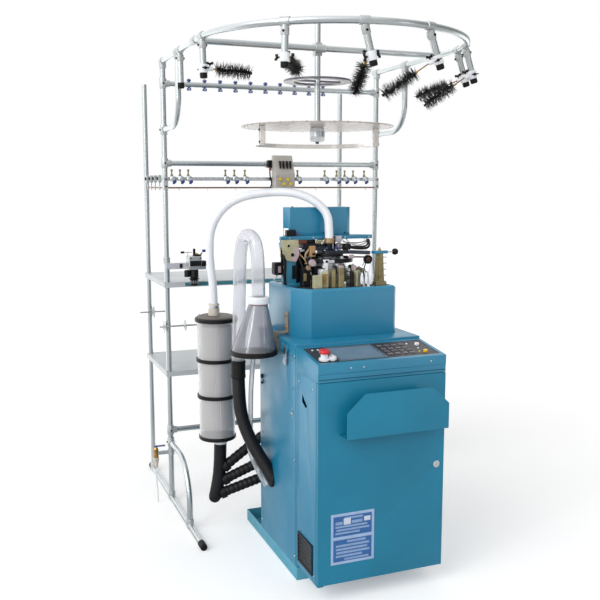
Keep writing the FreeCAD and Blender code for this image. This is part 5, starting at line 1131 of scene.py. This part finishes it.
def make_shelves_and_stop_box():
    dressed("shelves", SHELF_WHITE, 0.9)
    # A thin teal strip on the shelf's front edge: a painted reflection of the teal body.
    reflection_lip = block(LEFT_POST + 80, RIGHT_POST - 20, SHELF_FRONT - 0.5, SHELF_FRONT + 0.6, 1030, 1046, 0.2)
    assemble("shelf_edge_strip", "frame", [(TEAL_EDGE_REFLECTION, reflection_lip)])
    lens = turned([(8.6, 0), (8.6, 3), (7.8, 6), (4.5, 7.7), (0, 8)], sides=20)
    lamps = [((STOP_BOX_X + dx, 596.2, STOP_BOX_FOOT + dz), -BACK) for dx, dz in ((22, 42), (60, 42), (40, 20),
        (74, 20))]
    slot = block(STOP_BOX_X + 24.6, STOP_BOX_X + 29.4, 602, 622, 1571, 1605, 0.3)
    case = prism([(STOP_BOX_X, 655.2, 1632), (STOP_BOX_X, 636, 1632), (STOP_BOX_X, 600, 1548),
        (STOP_BOX_X, 596.4, 1544), (STOP_BOX_X, 596.4, STOP_BOX_FOOT), (STOP_BOX_X, 655.2, STOP_BOX_FOOT)],
        (96, 0, 0), 2.4, 2)
    parts = [(BOX_GREY, case), at_spots(lens, YELLOW_LENS, lamps), in_a_row(slot, BLACK_ABS, 4, (17, 0, 0))]
    for number in range(4):
        x = STOP_BOX_X + 27 + number * 17
        parts.append((BLACK_ABS,
            prism([(x - 3, 622.9, 1606), (x - 3, 606.8, 1570), (x - 3, 605.9, 1570.4), (x - 3, 622, 1606.4)],
            (6, 0, 0), 0.2)))
    grip = block(-34, -14, 646, 667.5, 1574, 1610, 2)
    parts += [
        (BLACKENED, grip),
        (ZINC, sleeve((-26, POST_FRONT, RAIL_MID), RIGHT, 14)),
        (CABLE_BROWN, turned([(5, 0), (6.5, 1), (6.5, 12), (4, 14), (0, 14)], (-24, 646, 1562), UP, 18)),
        (BLACK_ABS, pipe([(-24, 650, 1566), (-26, 650, 1540), (-12, 652, 1500), (-26, 652, 1476), (-24, 655, 1440)],
            3.2)),
        screws([((STOP_BOX_X + dx, 596.4, STOP_BOX_FOOT + dz), -BACK) for dx, dz in ((6, 60), (90, 60), (6, 6),
            (90, 6))], 2.4)]
    assemble("stop_box_case", "frame", parts, instead=("stop_box",))


def make_feeder():
    x, y = -402, 634
    parts = [
        (SERVO_SHELL, block(LEFT_POST - 9, x - 30, 651.5, 667.5, 1112, 1140, 1.2)),
        (BLACKENED, block(x - 62, x - 50, 648, 652, 1116, 1136, 1)),
        (ZINC, block(x - 30, x + 52, 612, 650, 1110, 1126, 1.5)),
        (BLACK_ABS, block(x + 22, x + 52, 606, 646, 1126, 1150, 2)),
        (BLACK_ABS, turned([(10, 1076), (14, 1078), (14, 1104), (10, 1108)], (x - 32, y, 0), UP, 24)),
        (TAN, rod((x + 12, 622, 1150), (x + 34, 616, 1188), 4, 14)),
        (BLUE_NYLON, block(x + 34, x + 50, 606, 620, 1190, 1202, 1.5)),
        (COIL, rod((x + 4, 618, 1166), (x + 30, 618, 1166), 5, 16)),
        (ZINC, block(x - 30, x + 30, 602, 667.5, 1122, 1172, 3)),
        (BLACK_ABS, block(x - 26, x + 26, 598, 603, 1128, 1152, 1)),
        (BLACK_ABS, turned([(14, 1070), (20, 1074), (20, 1108), (16, 1122)], (x, y, 0), UP, 28)),
        (BLACK_ABS, block(x - 4, x + 28, 606, 640, 1160, 1180, 2)),
        (BLACKENED, turned([(5, 0), (6, 1), (6, 30), (5, 34), (0, 34)], (x, 626, 1172), UP, 16)),
        (BRASS, turned([(3, 0), (7, 1), (7, 5), (3, 6), (0, 6)], (x + 10, 622, 1180), UP, 16)),
        (PLATED, rod((x - 58, 628, 1190), (x - 10, 628, 1190), 2.2, 10)),
        (BLACK_ABS, rod((x - 62, 628, 1190), (x - 46, 628, 1190), 5, 14)),
        (PLATED, rod((x - 30, 628, 1170), (x - 30, 628, 1192), 2.2, 10)),
        screws([((x + dx, 602, z), -BACK) for dx in (-22, 22) for z in (1130, 1164)], 3.2, BLACKENED),
        (ZINC, sleeve((LEFT_POST, POST_FRONT, 1150), UP, 16))]
    assemble("feeder_case", "frame", parts, instead=("feeder_body",))
    wheel = turned([(22, 1036), (24, 1037), (24, 1040), (15, 1046.5), (13.6, 1053), (15, 1060), (24, 1066),
        (24, 1069), (22, 1069.7)], (x, y, 0), UP, 40)
    fin = block(13, 20.5, -0.8, 0.8, 1046, 1060, 0.2)
    assemble("feeder_wheel_turned", "feed_wheel", [(BLACKENED, wheel), round_axis(fin, PLATED, 16, (x, y, 0))],
        instead=("feeder_wheel",))


def make_spool_holders():
    parts = []
    for start, end, discs in (((-562, 663, 846), (-340, 663, 846), ((18, 26), (118, 26), (186, 52))),
            ((-572, 1100, 850), (-438, 1100, 850), ((69, 30),))):
        start, end = Vector(start), Vector(end)
        parts.append((PLATED, rod(start, end, 3.8, 16)))
        for place, radius in discs:
            at = start + RIGHT * place
            flange = [(4, 0.4), (radius * 0.36, 0.4), (radius * 0.4, 1.6), (radius * 0.62, 1.6),
                (radius * 0.66, 0.4), (radius - 1, 0.2), (radius, 1.2), (radius, 3), (radius - 1, 3.4),
                (radius * 0.5, 4.6), (6.5, 5.8), (4, 5.8), (4, 0.4)]
            parts += [(FLANGE, turned(flange, at, RIGHT, 40)), (PLATED, ring(3.9, 7, -4, 0.4, at, RIGHT, 20, 0.4))]
    assemble("spool_holders", "frame", parts, instead=("spool_discs",))


def make_air_valve():
    x = LEFT_POST - 72
    parts = [
        (ZINC, block(x + 8, LEFT_POST - TUBE + 1, POST_FRONT - 8, POST_FRONT + 8, 233, 249, 1.5)),
        (ZINC, sleeve((LEFT_POST, POST_FRONT, 241), UP, 14)),
        (BRASS, turned([(9, 218), (12, 220), (12, 236), (10, 238), (10, 250), (12, 252), (12, 262), (9, 266),
            (6, 272)], (x, POST_FRONT, 0), UP, 24)),
        (PORT_CREAM, turned([(5, 172), (8, 173), (14.2, 214), (14.2, 219), (11, 221)], (x, POST_FRONT, 0), UP, 28)),
        (WHITE_NYLON, pipe([(x, POST_FRONT, 173), (x - 2, POST_FRONT, 120), (x + 4, POST_FRONT - 6, 50),
            (x + 2, POST_FRONT - 10, 4)], 3.4, pitch=6))]
    assemble("shutoff_valve", "frame", parts, instead=("air_valve",))
    dressed("valve_lever", BLUE_NYLON, 1.2)


make_shelves_and_stop_box()
make_feeder()
make_spool_holders()
make_air_valve()


# ================================================================ suction
def make_canister():
    at = CANISTER_AT
    wall = turned([(75, 440), (75, 442), (78.4, 680), (82, 929), (79, 929), (75.4, 680), (72, 440), (75, 440)], at,
        UP, 72)
    pleats = []
    for number in range(80):
        angle = math.tau * number / 80
        reach = 66 if number % 2 else 57
        pleats.append((at[0] + math.cos(angle) * reach, at[1] + math.sin(angle) * reach, 470))
    assemble("canister_wall", "frame", [(CANISTER, wall), (FILTER, prism(pleats, (0, 0, 440), 0))],
        instead=("canister_body",))
    parts = [
        (BLACK_ABS, turned([(84, 929.1), (88, 931), (88, 943), (85, 946), (80, 948.4)], at, UP, 72)),
        (LID_TOP, turned([(80, 948.4), (76, 951), (66, 955), (0, 955)], at, UP, 72)),
        (PORT_CREAM, turned([(24, 953), (24, 980), (23.2, 982), (23.2, 1002), (22, 1004), (16, 1004)], PORT_AT, UP,
            40)),
        (PLATED, ring(23, 24.6, 986, 997, PORT_AT, UP, 40, 0.3)),
        (BLACK_ABS, turned([(34, 414), (60, 420), (76, 424), (79, 427), (79, 438), (76, 439.9)], at, UP, 72))]
    for z, radius in ((768, 79.8), (612, 77.6)):
        parts += [
            (RUBBER, ring(radius, radius + 5, z - 7.5, z + 7.5, at, UP, 72, 0.8)),
            (BLACKENED, block(at[0] - 12, at[0] + 12, at[1] - radius - 5, at[1] - radius + 2, z - 6, z + 6, 1))]
    rib = block(84.5, 88.6, -2.2, 2.2, 932, 944, 0.6)
    parts.append(round_axis(rib, BLACK_ABS, 30, at))
    assemble("canister_fittings", "frame", parts, instead=("canister_rings",))


def make_hoses():
    white = pipe([(-416, 250, 1004.3), (-416, 250, 1068), (-433, 248, 1200), (-430, 232, 1335), (-354, 196, 1438),
        (-205, 140, 1470), (-88, 66, 1462), (2, 20, 1392), (0, 0, 1300), (0, 0, 1262.3)], 17, 36, 24, 6)
    hose = assemble("suction_hose_white", None, [(WHITE_HOSE, white)], instead=("suction_hose",))
    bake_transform(hose)

    over = pipe([(-376, 42, 801.5), (-368, 42, 1040), (-362, 42, 1303), (-335, -84, 1303), (-329, -80, 1100),
        (-329, -80, 1058.3)], 26, 40, 24, 8, 2.4)
    drain = pipe([(-322, 6, 844.8), (-316, 50, 740), (-313, 80, 640), (-314, 80, 494), (-326, 78, 425),
        (-299, 58, 336), (-268, 18, 270)], 10, 20, 16, 8)
    assemble("clear_pipes", "frame", [(PVC_CLEAR, over), (DRAIN, drain)], instead=("clear_tubes",))

    coils = pipe([(-376, 42, 760), (-375, 42, 640), (-363, 34, 552), (-334, 20, 470), (-290, 8, 384),
        (-250, -10, 312)], lambda n: 26.6 - 1.4 * (n % 2), 28, 24, 2.5)
    cuff = turned([(25.5, 728), (29, 730), (30, 733), (30, 740), (28.6, 742), (28.6, 788), (30, 790), (30, 798),
        (28, 800), (26.5, 800)], RISER_AT, UP, 40)
    flange = turned([(25.5, 0), (31, 0.5), (31.5, 4), (28, 10), (25.5, 11)], (-254.4, -12, 306), -RIGHT, 32)
    assemble("body_hose_spiral", "frame", [(BLACK_HOSE, coils), (RUBBER, cuff), (RUBBER, flange)],
        instead=("body_hose",))

    line = even_steps(spline([(-396, 250, 412), (-398, 250, 290), (-416, 250, 190), (-424, 250, 160)], 20), 4)
    tail = len(line) - 1
    parts = [
        (WHITE_NYLON, ring(27.2, 29.4, 398, 409, (-396, 250, 0), UP, 40, 0.5)),
        (BLACK_HOSE, swept(line, lambda n: 27 if n < tail else 25.5, 36))]
    end = line[-1]
    way = (line[-1] - line[-2]).normalized()
    parts.append((BLACK_HOSE, turned([(26, -1), (24.4, 8), (20, 16), (12, 22), (0, 25)], end, way, 36)))
    for start, high in (((-400, 277), 440), ((-406, 224), 322), ((-418, 168), 246)):
        a, b = Vector((start[0], 250, start[1])), Vector((-202.5, 200, high))
        way = (b - a).normalized()
        line = [a + (b - a) * (n / OUTLET_RIBS) for n in range(OUTLET_RIBS + 1)]
        parts += [
            (BLACK_HOSE, swept(line, lambda n: (19.6, 21.4, 22, 21.4)[n % 4], 28)),
            (RUBBER, turned([(20, 0), (26.2, 1), (26.2, 24), (22, 26)], a + way * 20, way, 32))]
    assemble("outlet_hoses", "frame", parts, instead=("outlet_hose",))


def make_cone_and_blower():
    cone_at = (-349, -80, 0)
    shell = turned([(86, 866), (86, 868), (59.5, 963), (33, 1056), (33, 1058), (30.5, 1058), (57, 963), (83.5, 866),
        (86, 866)], cone_at, UP, 72)
    lean = Matrix.Identity(4)
    lean[0][2], lean[0][3] = 20 / 192, -866 * 20 / 192
    shell = moved(shell, lean)
    cone_top = (-329, -80, 0)
    assemble("catch_cone_shell", "frame", [(SMOKED, shell)], instead=("catch_cone",))
    parts = [
        (RUBBER, turned([(74, 846), (88, 846), (91, 848), (91, 863), (88, 865.9), (84, 865.9), (80, 860), (74, 858),
            (74, 846)], cone_at, UP, 72)),
        (WHITE_NYLON, turned([(33.6, 1045), (42, 1045), (43, 1047), (43, 1068), (41, 1071), (26.6, 1071),
            (26.6, 1058.8), (33.6, 1058.4), (33.6, 1045)], cone_top, UP, 48)),
        (PHENOLIC, ring(35.6, 38.6, 1041, 1045, cone_top, UP, 48, 0.6)),
        (TAN, block(-263, -258.4, -94, -66, 846, 858, 0.6)),
        (TAN, upright([(-263, 858), (-259, 858), (-259, 925), (-211.4, 925), (-211.4, 1005), (-215.4, 1005),
            (-215.4, 929), (-263, 929)], -94, 28, 0.5)),
        screws([((-215.4, y, z), -RIGHT) for y in (-87, -73) for z in (945, 990)], 3.4, BRASS)]
    assemble("cone_holder", "frame", parts, instead=("cone_mount",))

    fins = in_a_row(turned([(44, 0), (55, 0.2), (55, 2.2), (44, 2.4)], (160, 200, 150), RIGHT, 32), ZINC, 11,
        (6.4, 0, 0))
    dressed("blower", TEAL_PALE, 1.5, extra=[fins])


make_canister()
make_hoses()
make_cone_and_blower()


# ================================================================ knitting head
def make_head():
    dressed("drive_motor", BLACKENED, 1.5)
    dressed("drive_belt", RUBBER, 0.4)
    at = (150, 10, 0)
    assemble("motor_pulley_turned", "motor_wheel",
        [(GROUND, turned([(9, 998.3), (9, 1007), (35, 1007), (36, 1008), (36, 1010), (32, 1010.5), (32, 1035.5),
        (36, 1036), (36, 1038), (35, 1039), (12, 1039), (12, 1037), (0, 1037)], at, UP, 48))],
        instead=("motor_pulley",))
    body = [(GROUND, turned([(40, 1010), (40, 1007), (67, 1007), (68, 1008), (68, 1010), (64, 1010.5), (64, 1035),
        (62, 1036), (46, 1036), (46, 1106), (47.4, 1108), (47.4, 1190), (46, 1196), (40, 1196), (40, 1010)],
        sides=72))]
    land = block(47, 50, -0.75, 0.75, 1106, 1195.6, 0.25)
    body.append(round_axis(land, GROUND, NEEDLES))
    needle = joined(block(47.4, 48.6, -0.3, 0.3, 1112, 1199.6, 0.1), block(48.2, 49.8, -0.3, 0.3, 1198.2, 1200.9,
        0.2))
    turn = Matrix.Rotation(math.pi / NEEDLES, 4, "Z")
    body.append(round_axis(moved(needle, turn), PLATED, NEEDLES))
    assemble("needle_cylinder_slotted", "cylinder", body, instead=("needle_cylinder",))

    dial = [
        (GROUND, turned([(9, 1204.6), (40, 1204.6), (40, 1211.6), (20, 1211.6), (18, 1213), (9, 1213), (9, 1237),
            (8, 1237), (0, 1237)], sides=64)),
        round_axis(block(39.6, 46, -0.8, 0.8, 1204.8, 1211.4, 0.2), GROUND, NEEDLES)]
    assemble("dial_slotted", "dial_body", dial, instead=("dial",))

    cam = [(GROUND, turned([(51, 1113), (51, 1188), (53, 1189), (65, 1189), (67, 1187), (67, 1168), (69, 1166),
        (90, 1166), (92, 1164), (92, 1150), (89, 1149), (89, 1140), (92, 1139), (92, 1115), (90, 1113), (51, 1113)],
        sides=72))]
    block_shape = block(78, 104, -11, 11, 1144, 1176, 2)
    turn = about_z(30)
    cam += [
        round_axis(moved(block_shape, turn), BLACKENED, 6),
        round_axis(moved(block(70, 86, -9, 9, BED_Z, 1113.5, 1), turn), CREAM, 6)]
    head_screw = moved(cap_screw(4.2), turn @ Matrix.Translation((96, 0, 1176)))
    cam += [
        round_axis(head_screw, PLATED, 6),
        round_axis(moved(cap_screw(3), Matrix.Translation((59, 0, 1189))), PLATED, 12),
        round_axis(moved(block(92, 97, -4, 4, 1118, 1136, 1), Matrix.Rotation(0.1, 4, "Z")), BRASS, 12)]
    assemble("cam_box", "frame", cam, instead=("cam_ring",))

    units = []
    for angle in (0, -60, -120):
        turn = about_z(angle)
        units.append((CREAM, moved(upright([(118, BED_Z), (148, BED_Z), (148, 1152), (140, 1161), (122, 1161),
            (122, 1109), (118, 1109)], -13.6, 27.2, 2), turn)))
        lever = upright([(96.2, 1113.5), (96.2, 1116), (104, 1117.5), (124, 1117.5), (124, 1113), (104, 1112.2)],
            -12, 24, 0.5)
        units += [
            in_a_row(moved(lever, turn), GROUND, 5, (0, 0, 9.6)),
            (PLATED, moved(rod((130, -15.5, 1150), (130, 15.5, 1150), 3.4, 14), turn)),
            screws([(turn @ Vector((134, 0, 1161)), UP)], 4)]
    assemble("selector_units", "frame", units, instead=("selector_blocks",))

    dressed("dial_arm", BLACKENED, 1.5)
    for number in (1, 2, 3):
        dressed("yarn_finger_%d" % number, PLATED, 0.6)
    dressed("head_plate", TEAL, 1.5)
    dressed("head_cover", TEAL, 1.6, extra=[screws([((-122, 98, 1405), UP)], 4, BLACKENED)])
    dressed("left_column", TEAL, 3)
    dressed("hinge_bracket", CREAM, 2)
    # The right bracket is the cream casting painted olive-dark: painted shade.
    dressed("right_bracket", SHADED_CREAM, 1.6)
    ball = turned([(0, -1), (6, 0), (10.4, 3.2), (12.6, 8), (13, 12), (12.6, 16), (10.4, 20.8), (6, 23.6), (0, 24)],
        (224, -120, 1230.3), RIGHT, 32)
    blade = slab([(136, -108), (142, -134), (200, -129), (200, -113)], 1224.4, 11.8, 1.6, 2)
    assemble("lock_lever_ball", "lever",
        [(TEAL, blade), (PLATED, rod((199, -120, 1230.3), (225, -120, 1230.3), 3, 16)), (BLACK_ABS, ball),
        (BRASS, turned([(7, 0), (7, 5), (5, 6), (3, 14), (0, 15)], (166, -120, 1236), UP, 20))],
        instead=("lock_lever",))


def make_head_fittings():
    """Small gear on the dial arm and the head plate: it lifts with the head."""
    parts = [
        (PHENOLIC, block(-122, -86, 27, 57, 1260.2, 1275.8, 1.2)),
        (BLACK_ABS, block(-85.5, -49.5, 24, 57, 1260.2, 1275.6, 1.5)),
        (BLACK_ABS, block(-16.5, 20, 26, 35.8, 1238.2, 1275.6, 1.5)),
        (BLACKENED, block(-104, -40, -21, 24, 1244, 1262, 3)),
        (BLUED, block(-72, -34, -40, -24, 1236.5, 1252, 2)),
        (BLUE_NYLON, turned([(5, 0), (8, 1), (8, 12), (5, 14), (0, 14)], (22, -22, 1236), UP, 20)),
        (CREAM, block(-49, -17, 2, 24, 1260.2, 1275, 1.5)),
        (COIL, block(-99, -75, -40, -23, 1212.2, 1256, 2)),
        (BLACK_ABS, rod((-85, -48, 1224), (-85, -39.5, 1224), 5, 18)),
        (TAN, upright([(-121, 1203), (-116, 1203), (-112, 1222), (-98, 1240), (-98, 1246), (-104, 1246),
            (-117, 1226)], -34, 7, 0.8)),
        (BLUE_NYLON, block(-26, -16, -27, -19, 1238.2, 1250, 1.2)),
        (SERVO_SHELL, block(21, 58, 3, 24.8, 1266, 1290.6, 2)),
        (MAUVE_SHELL, turned([(0, -34), (10, -34), (11, -33), (13, -31), (13, -5), (12, -3), (6, -2.2), (0, -2)],
            (36, 0, 1251), BACK, 32)),
        (PLATED, turned([(0, -40), (2.6, -39.4), (2.6, -34)], (36, 0, 1251), BACK, 16)),
        (BLACK_ABS, turned([(0, -58), (11, -58), (13.4, -56), (14, -52), (14, -42), (9, -40), (0, -40)],
            (60, 0, 1250), BACK, 32)),
        (COIL, turned([(12.4, -42), (12.8, -41), (12.8, -31), (12, -30), (0, -30)], (60, 0, 1250), BACK, 32)),
        (BLACKENED, block(44, 60, -40, -30, 1236.2, 1262, 1)),
        (BLUED, slab([(-30, -52), (20, -56), (60, -66), (122, -126), (131, -112), (76, -46), (28.5, -28.2),
            (-28, -28.2), (-44, -30)], 1222.5, 13.5, 1)),
        (BLACK_ABS, block(20.5, 24.5, -8, 8, 1239, 1290, 0.8)),
        (BLACKENED, block(-170, -130, 34, 56, 1291.1, 1316, 1.5)),
        (BLUE_NYLON, block(-129.6, -121, 38, 50, 1291.1, 1306, 1.2)),
        (CABLE_BROWN, block(-121, -113, 40, 50, 1291.1, 1301, 1.2)),
        (WHITE_NYLON, block(-126, -111, 57.6, 59.4, 1291.4, 1299, 0.4)),
        (TAN, ring(18.4, 21.6, 1263, 1283, (0, 0, 0), UP, 40, 0.8)),
        (WHITE_NYLON, pipe([(92, 34, 1275), (92, 12, 1262), (120, 4, 1249), (150, 4, 1252), (178, 12, 1264),
            (184, 34, 1275)], 3)),
        (WHITE_NYLON, pipe([(70, 34, 1275), (72, 8, 1266), (100, -2, 1256), (140, -4, 1262), (168, 6, 1270),
            (172, 34, 1275)], 2.2)),
        (WINE_ROD, pipe([(58, 0, 1266), (96, -12, 1262), (150, -10, 1262), (186, 20, 1272)], 1.5)),
        (BLACK_ABS, pipe([(75, -42, 1246), (120, -48, 1238), (166, -45, 1246), (186, 20, 1270)], 5)),
        (BLACK_ABS, pipe([(75, -36, 1250), (118, -40, 1246), (160, -38, 1252), (180, 22, 1272)], 3.5)),
        (WHITE_NYLON, pipe([(-20, 4, 1276), (-34, -12, 1268), (-48, -20, 1252), (-60, -24, 1244)], 2)),
        screws([((-38, -44, 1236), UP), ((10, -48, 1236), UP), ((62, -58, 1236), UP), ((112, -108, 1236), UP)], 4),
        screws([((x, 25, 1283.5), -BACK) for x in (-160, -60, 80, 190)], 3.4),
        screws([((x, 60, 1300), -BACK) for x in (-130, 0, 96)], 3, BLACKENED)]
    assemble("head_gear", "head", parts)


def make_bed_fittings():
    """Small gear round the cam box and the columns: it stays with the bed."""
    parts = [
        (BLACKENED, ring(89, 96, 1189, 1206, (0, 0, 0), UP, 64, 1)),
        (WHITE_NYLON, upright([(-69, 1206), (-43, 1206), (-45, 1196), (-48, 1176), (-49, 1158), (-59, 1158),
            (-60, 1176), (-66, 1196)], -101, 4, 0.8)),
        (BLACKENED, turned([(5, 0), (5, 3), (3.6, 4), (0, 4)], (-54, -101, 1198), -BACK, 18)),
        (SERVO_SHELL, block(-43, -20, -100, -97, 1191, 1203, 0.5)),
        (PLATED, turned([(5, 0), (5, 3), (7, 4), (7, 9), (5.4, 10), (0, 10)], (15, -90, 1206), UP, 20)),
        (PINK_GREY, turned([(0, -78), (12, -78), (14, -76), (14, -66), (11, -63), (0, -62)], (-103, 0, 1192), BACK,
            32)),
        (TAN, turned([(0, -66), (9, -66), (10, -64), (10, -59), (0, -58)], (-116, 0, 1172), BACK, 28)),
        (BLACKENED, block(-136, -104, -58, -20, BED_Z, 1168, 3)),
        (BLACKENED, block(-140, -98, 64, 104, BED_Z, 1236, 3)),
        (BLACKENED, block(-96, -30, 108, 124, BED_Z, 1222, 3)),
        (BLUED, block(-28, 40, 110, 124, BED_Z, 1196, 3)),
        (BLACKENED, block(44, 92, 108, 124, BED_Z, 1212, 3)),
        (BLACKENED, rod((-112, 84, 1236), (-112, 84, 1252), 8, 20)),
        (BLACKENED, block(-146, -140, -6, 30, 1108, 1196, 1.5)),
        (BLACK_ABS, block(-164, -148, -10, -8.1, 1124, 1178, 0.8)),
        (BLACK_ABS, pipe([(-196, -14, BED_Z + 2), (-200, -16, 1140), (-194, -15, 1180), (-200, -14, 1226)], 6)),
        (BLACK_ABS, pipe([(-130, -40, 1168), (-136, -30, 1196), (-138, -12, 1214), (-138, 10, 1236)], 4)),
        (COIL, pipe([(-118, -52, 1186), (-126, -46, 1206), (-132, -30, 1216), (-134, 0, 1228)], 2.4)),
        (BLACKENED, turned([(5, 0), (5, 1.4), (0, 1.6)], (-184, -24, 1258), -BACK, 18)),
        (BLACKENED, turned([(7, 0), (7, 2.6), (4, 3.4), (0, 3.4)], (-168, -23.8, 1222), -BACK, 20)),
        (PINK_GREY, upright([(-176, 1208), (-158, 1248), (-140, 1252), (-137, 1222), (-150, 1194), (-166, 1197)],
            -22, 2.2, 0.8)),
        (BLACKENED, block(-120, -100, -62, -44, 1168, 1186, 2)),
        (BRASS, turned([(4, 0), (4, 8), (2.4, 10), (0, 10)], (-128, -30, 1168), UP, 16)),
        # The olive blocks here are cream castings painted darker: painted shade.
        (SHADED_CREAM, block(-134, -122, -60.5, -57, 1120, 1150, 1)),
        (CREAM, block(-127, -92, -152, -128, BED_Z, 1150, 3)),
        (SHADED_CREAM, block(-45, -30, -136, -112, BED_Z, 1168, 2)),
        (SHADED_CREAM, block(-18, 4, -142, -118, BED_Z, 1174, 2)),
        (PINK_GREY, block(-17, 3, -141, -119, 1174, 1184, 2)),
        (BLACKENED, block(34, 47, -140, -124, BED_Z, 1160, 2)),
        (PINK_GREY, block(50, 66, -120, -104, 1161.2, 1181, 1.5)),
        (PINK_GREY, upright([(50, 1206), (74, 1206), (74, 1216), (70, 1220), (54, 1220), (50, 1214)], -82, 5, 0.8)),
        (WINE_ROD, rod((74, -79, 1211), (122, -71, 1208), 3, 14)),
        (BLACKENED, turned([(11, 0), (17, 0), (18, 1.5), (18, 12), (17, 13.5), (0, 13.5)], (140, -76, 1198), BACK,
            36)),
        (CABLE_BROWN, turned([(0, -1), (8, -1), (11, 1), (11, 3), (0, 3)], (140, -76, 1198), BACK, 28)),
        (BLACKENED, pipe([(132, -68, 1184), (124, -66, 1160), (122, -70, 1130), (126, -76, BED_Z)], 2.2)),
        (BLACKENED, block(-232, -191, 5, 45, 1140, 1190, 4)),
        (BLACKENED, rod((-198, 12, 1190), (-198, 12, 1240), 6, 20)),
        (SERVO_SHELL, upright([(-197, 1177), (-193, 1124), (-191.4, 1124), (-193.6, 1177)], -2, 5, 0.3)),
        (PLATED, rod((-228, 30, 1119), (-200, 30, 1152), 2.4, 12)),
        (PINK_GREY, block(-218, -206, 3.4, 6, 1150, 1176, 0.6))]
    for x, low, high, reach in ((78, 1108, 1154, 7), (97, 1108, 1154, 7), (116, 1106, 1187, 10)):
        tall = high - low
        capsule = turned([(0, 0), (reach * 0.6, 1), (reach, tall * 0.2), (reach, tall * 0.5),
            (reach * 0.55, tall * 0.86), (reach * 0.3, tall), (0, tall)], (x, -146, low), UP, 24)
        parts += [
            (WHITE_NYLON, capsule),
            (BLACKENED, rod((x, -146, BED_Z), (x, -146, low + 1), 3, 12)),
            (BLACK_ABS, pipe([(x, -146, high - 1), (x - 3, -140, high + 14), (x - 14, -124, high + 16),
                (x - 18, -108, high - 10)], 1.4))]
    spots = [((math.cos(a) * 92.5, math.sin(a) * 92.5, 1206), UP)
        for a in [math.radians(15 + 30 * n) for n in range(12)]]
    parts.append(screws(spots, 2.6))
    # Row of pattern bits along each selector unit's outer edge.
    bit = block(149, 152, -10, 10, 1114, 1116.4, 0.4)
    for angle in (0, -60, -120):
        turn = about_z(angle)
        parts.append(in_a_row(moved(bit, turn), BRASS if angle < -100 else PLATED, 9, (0, 0, 4.6)))
    # Olive strips: cream painted darker as painted shade.
    for z in (1116, 1140, 1164, 1188, 1212):
        parts.append((SHADED_CREAM, block(144, 186, -145, -143.8, z - 1.5, z + 1.5, 0.4)))
    assemble("bed_gear", "frame", parts)


make_head()
make_head_fittings()
make_bed_fittings()
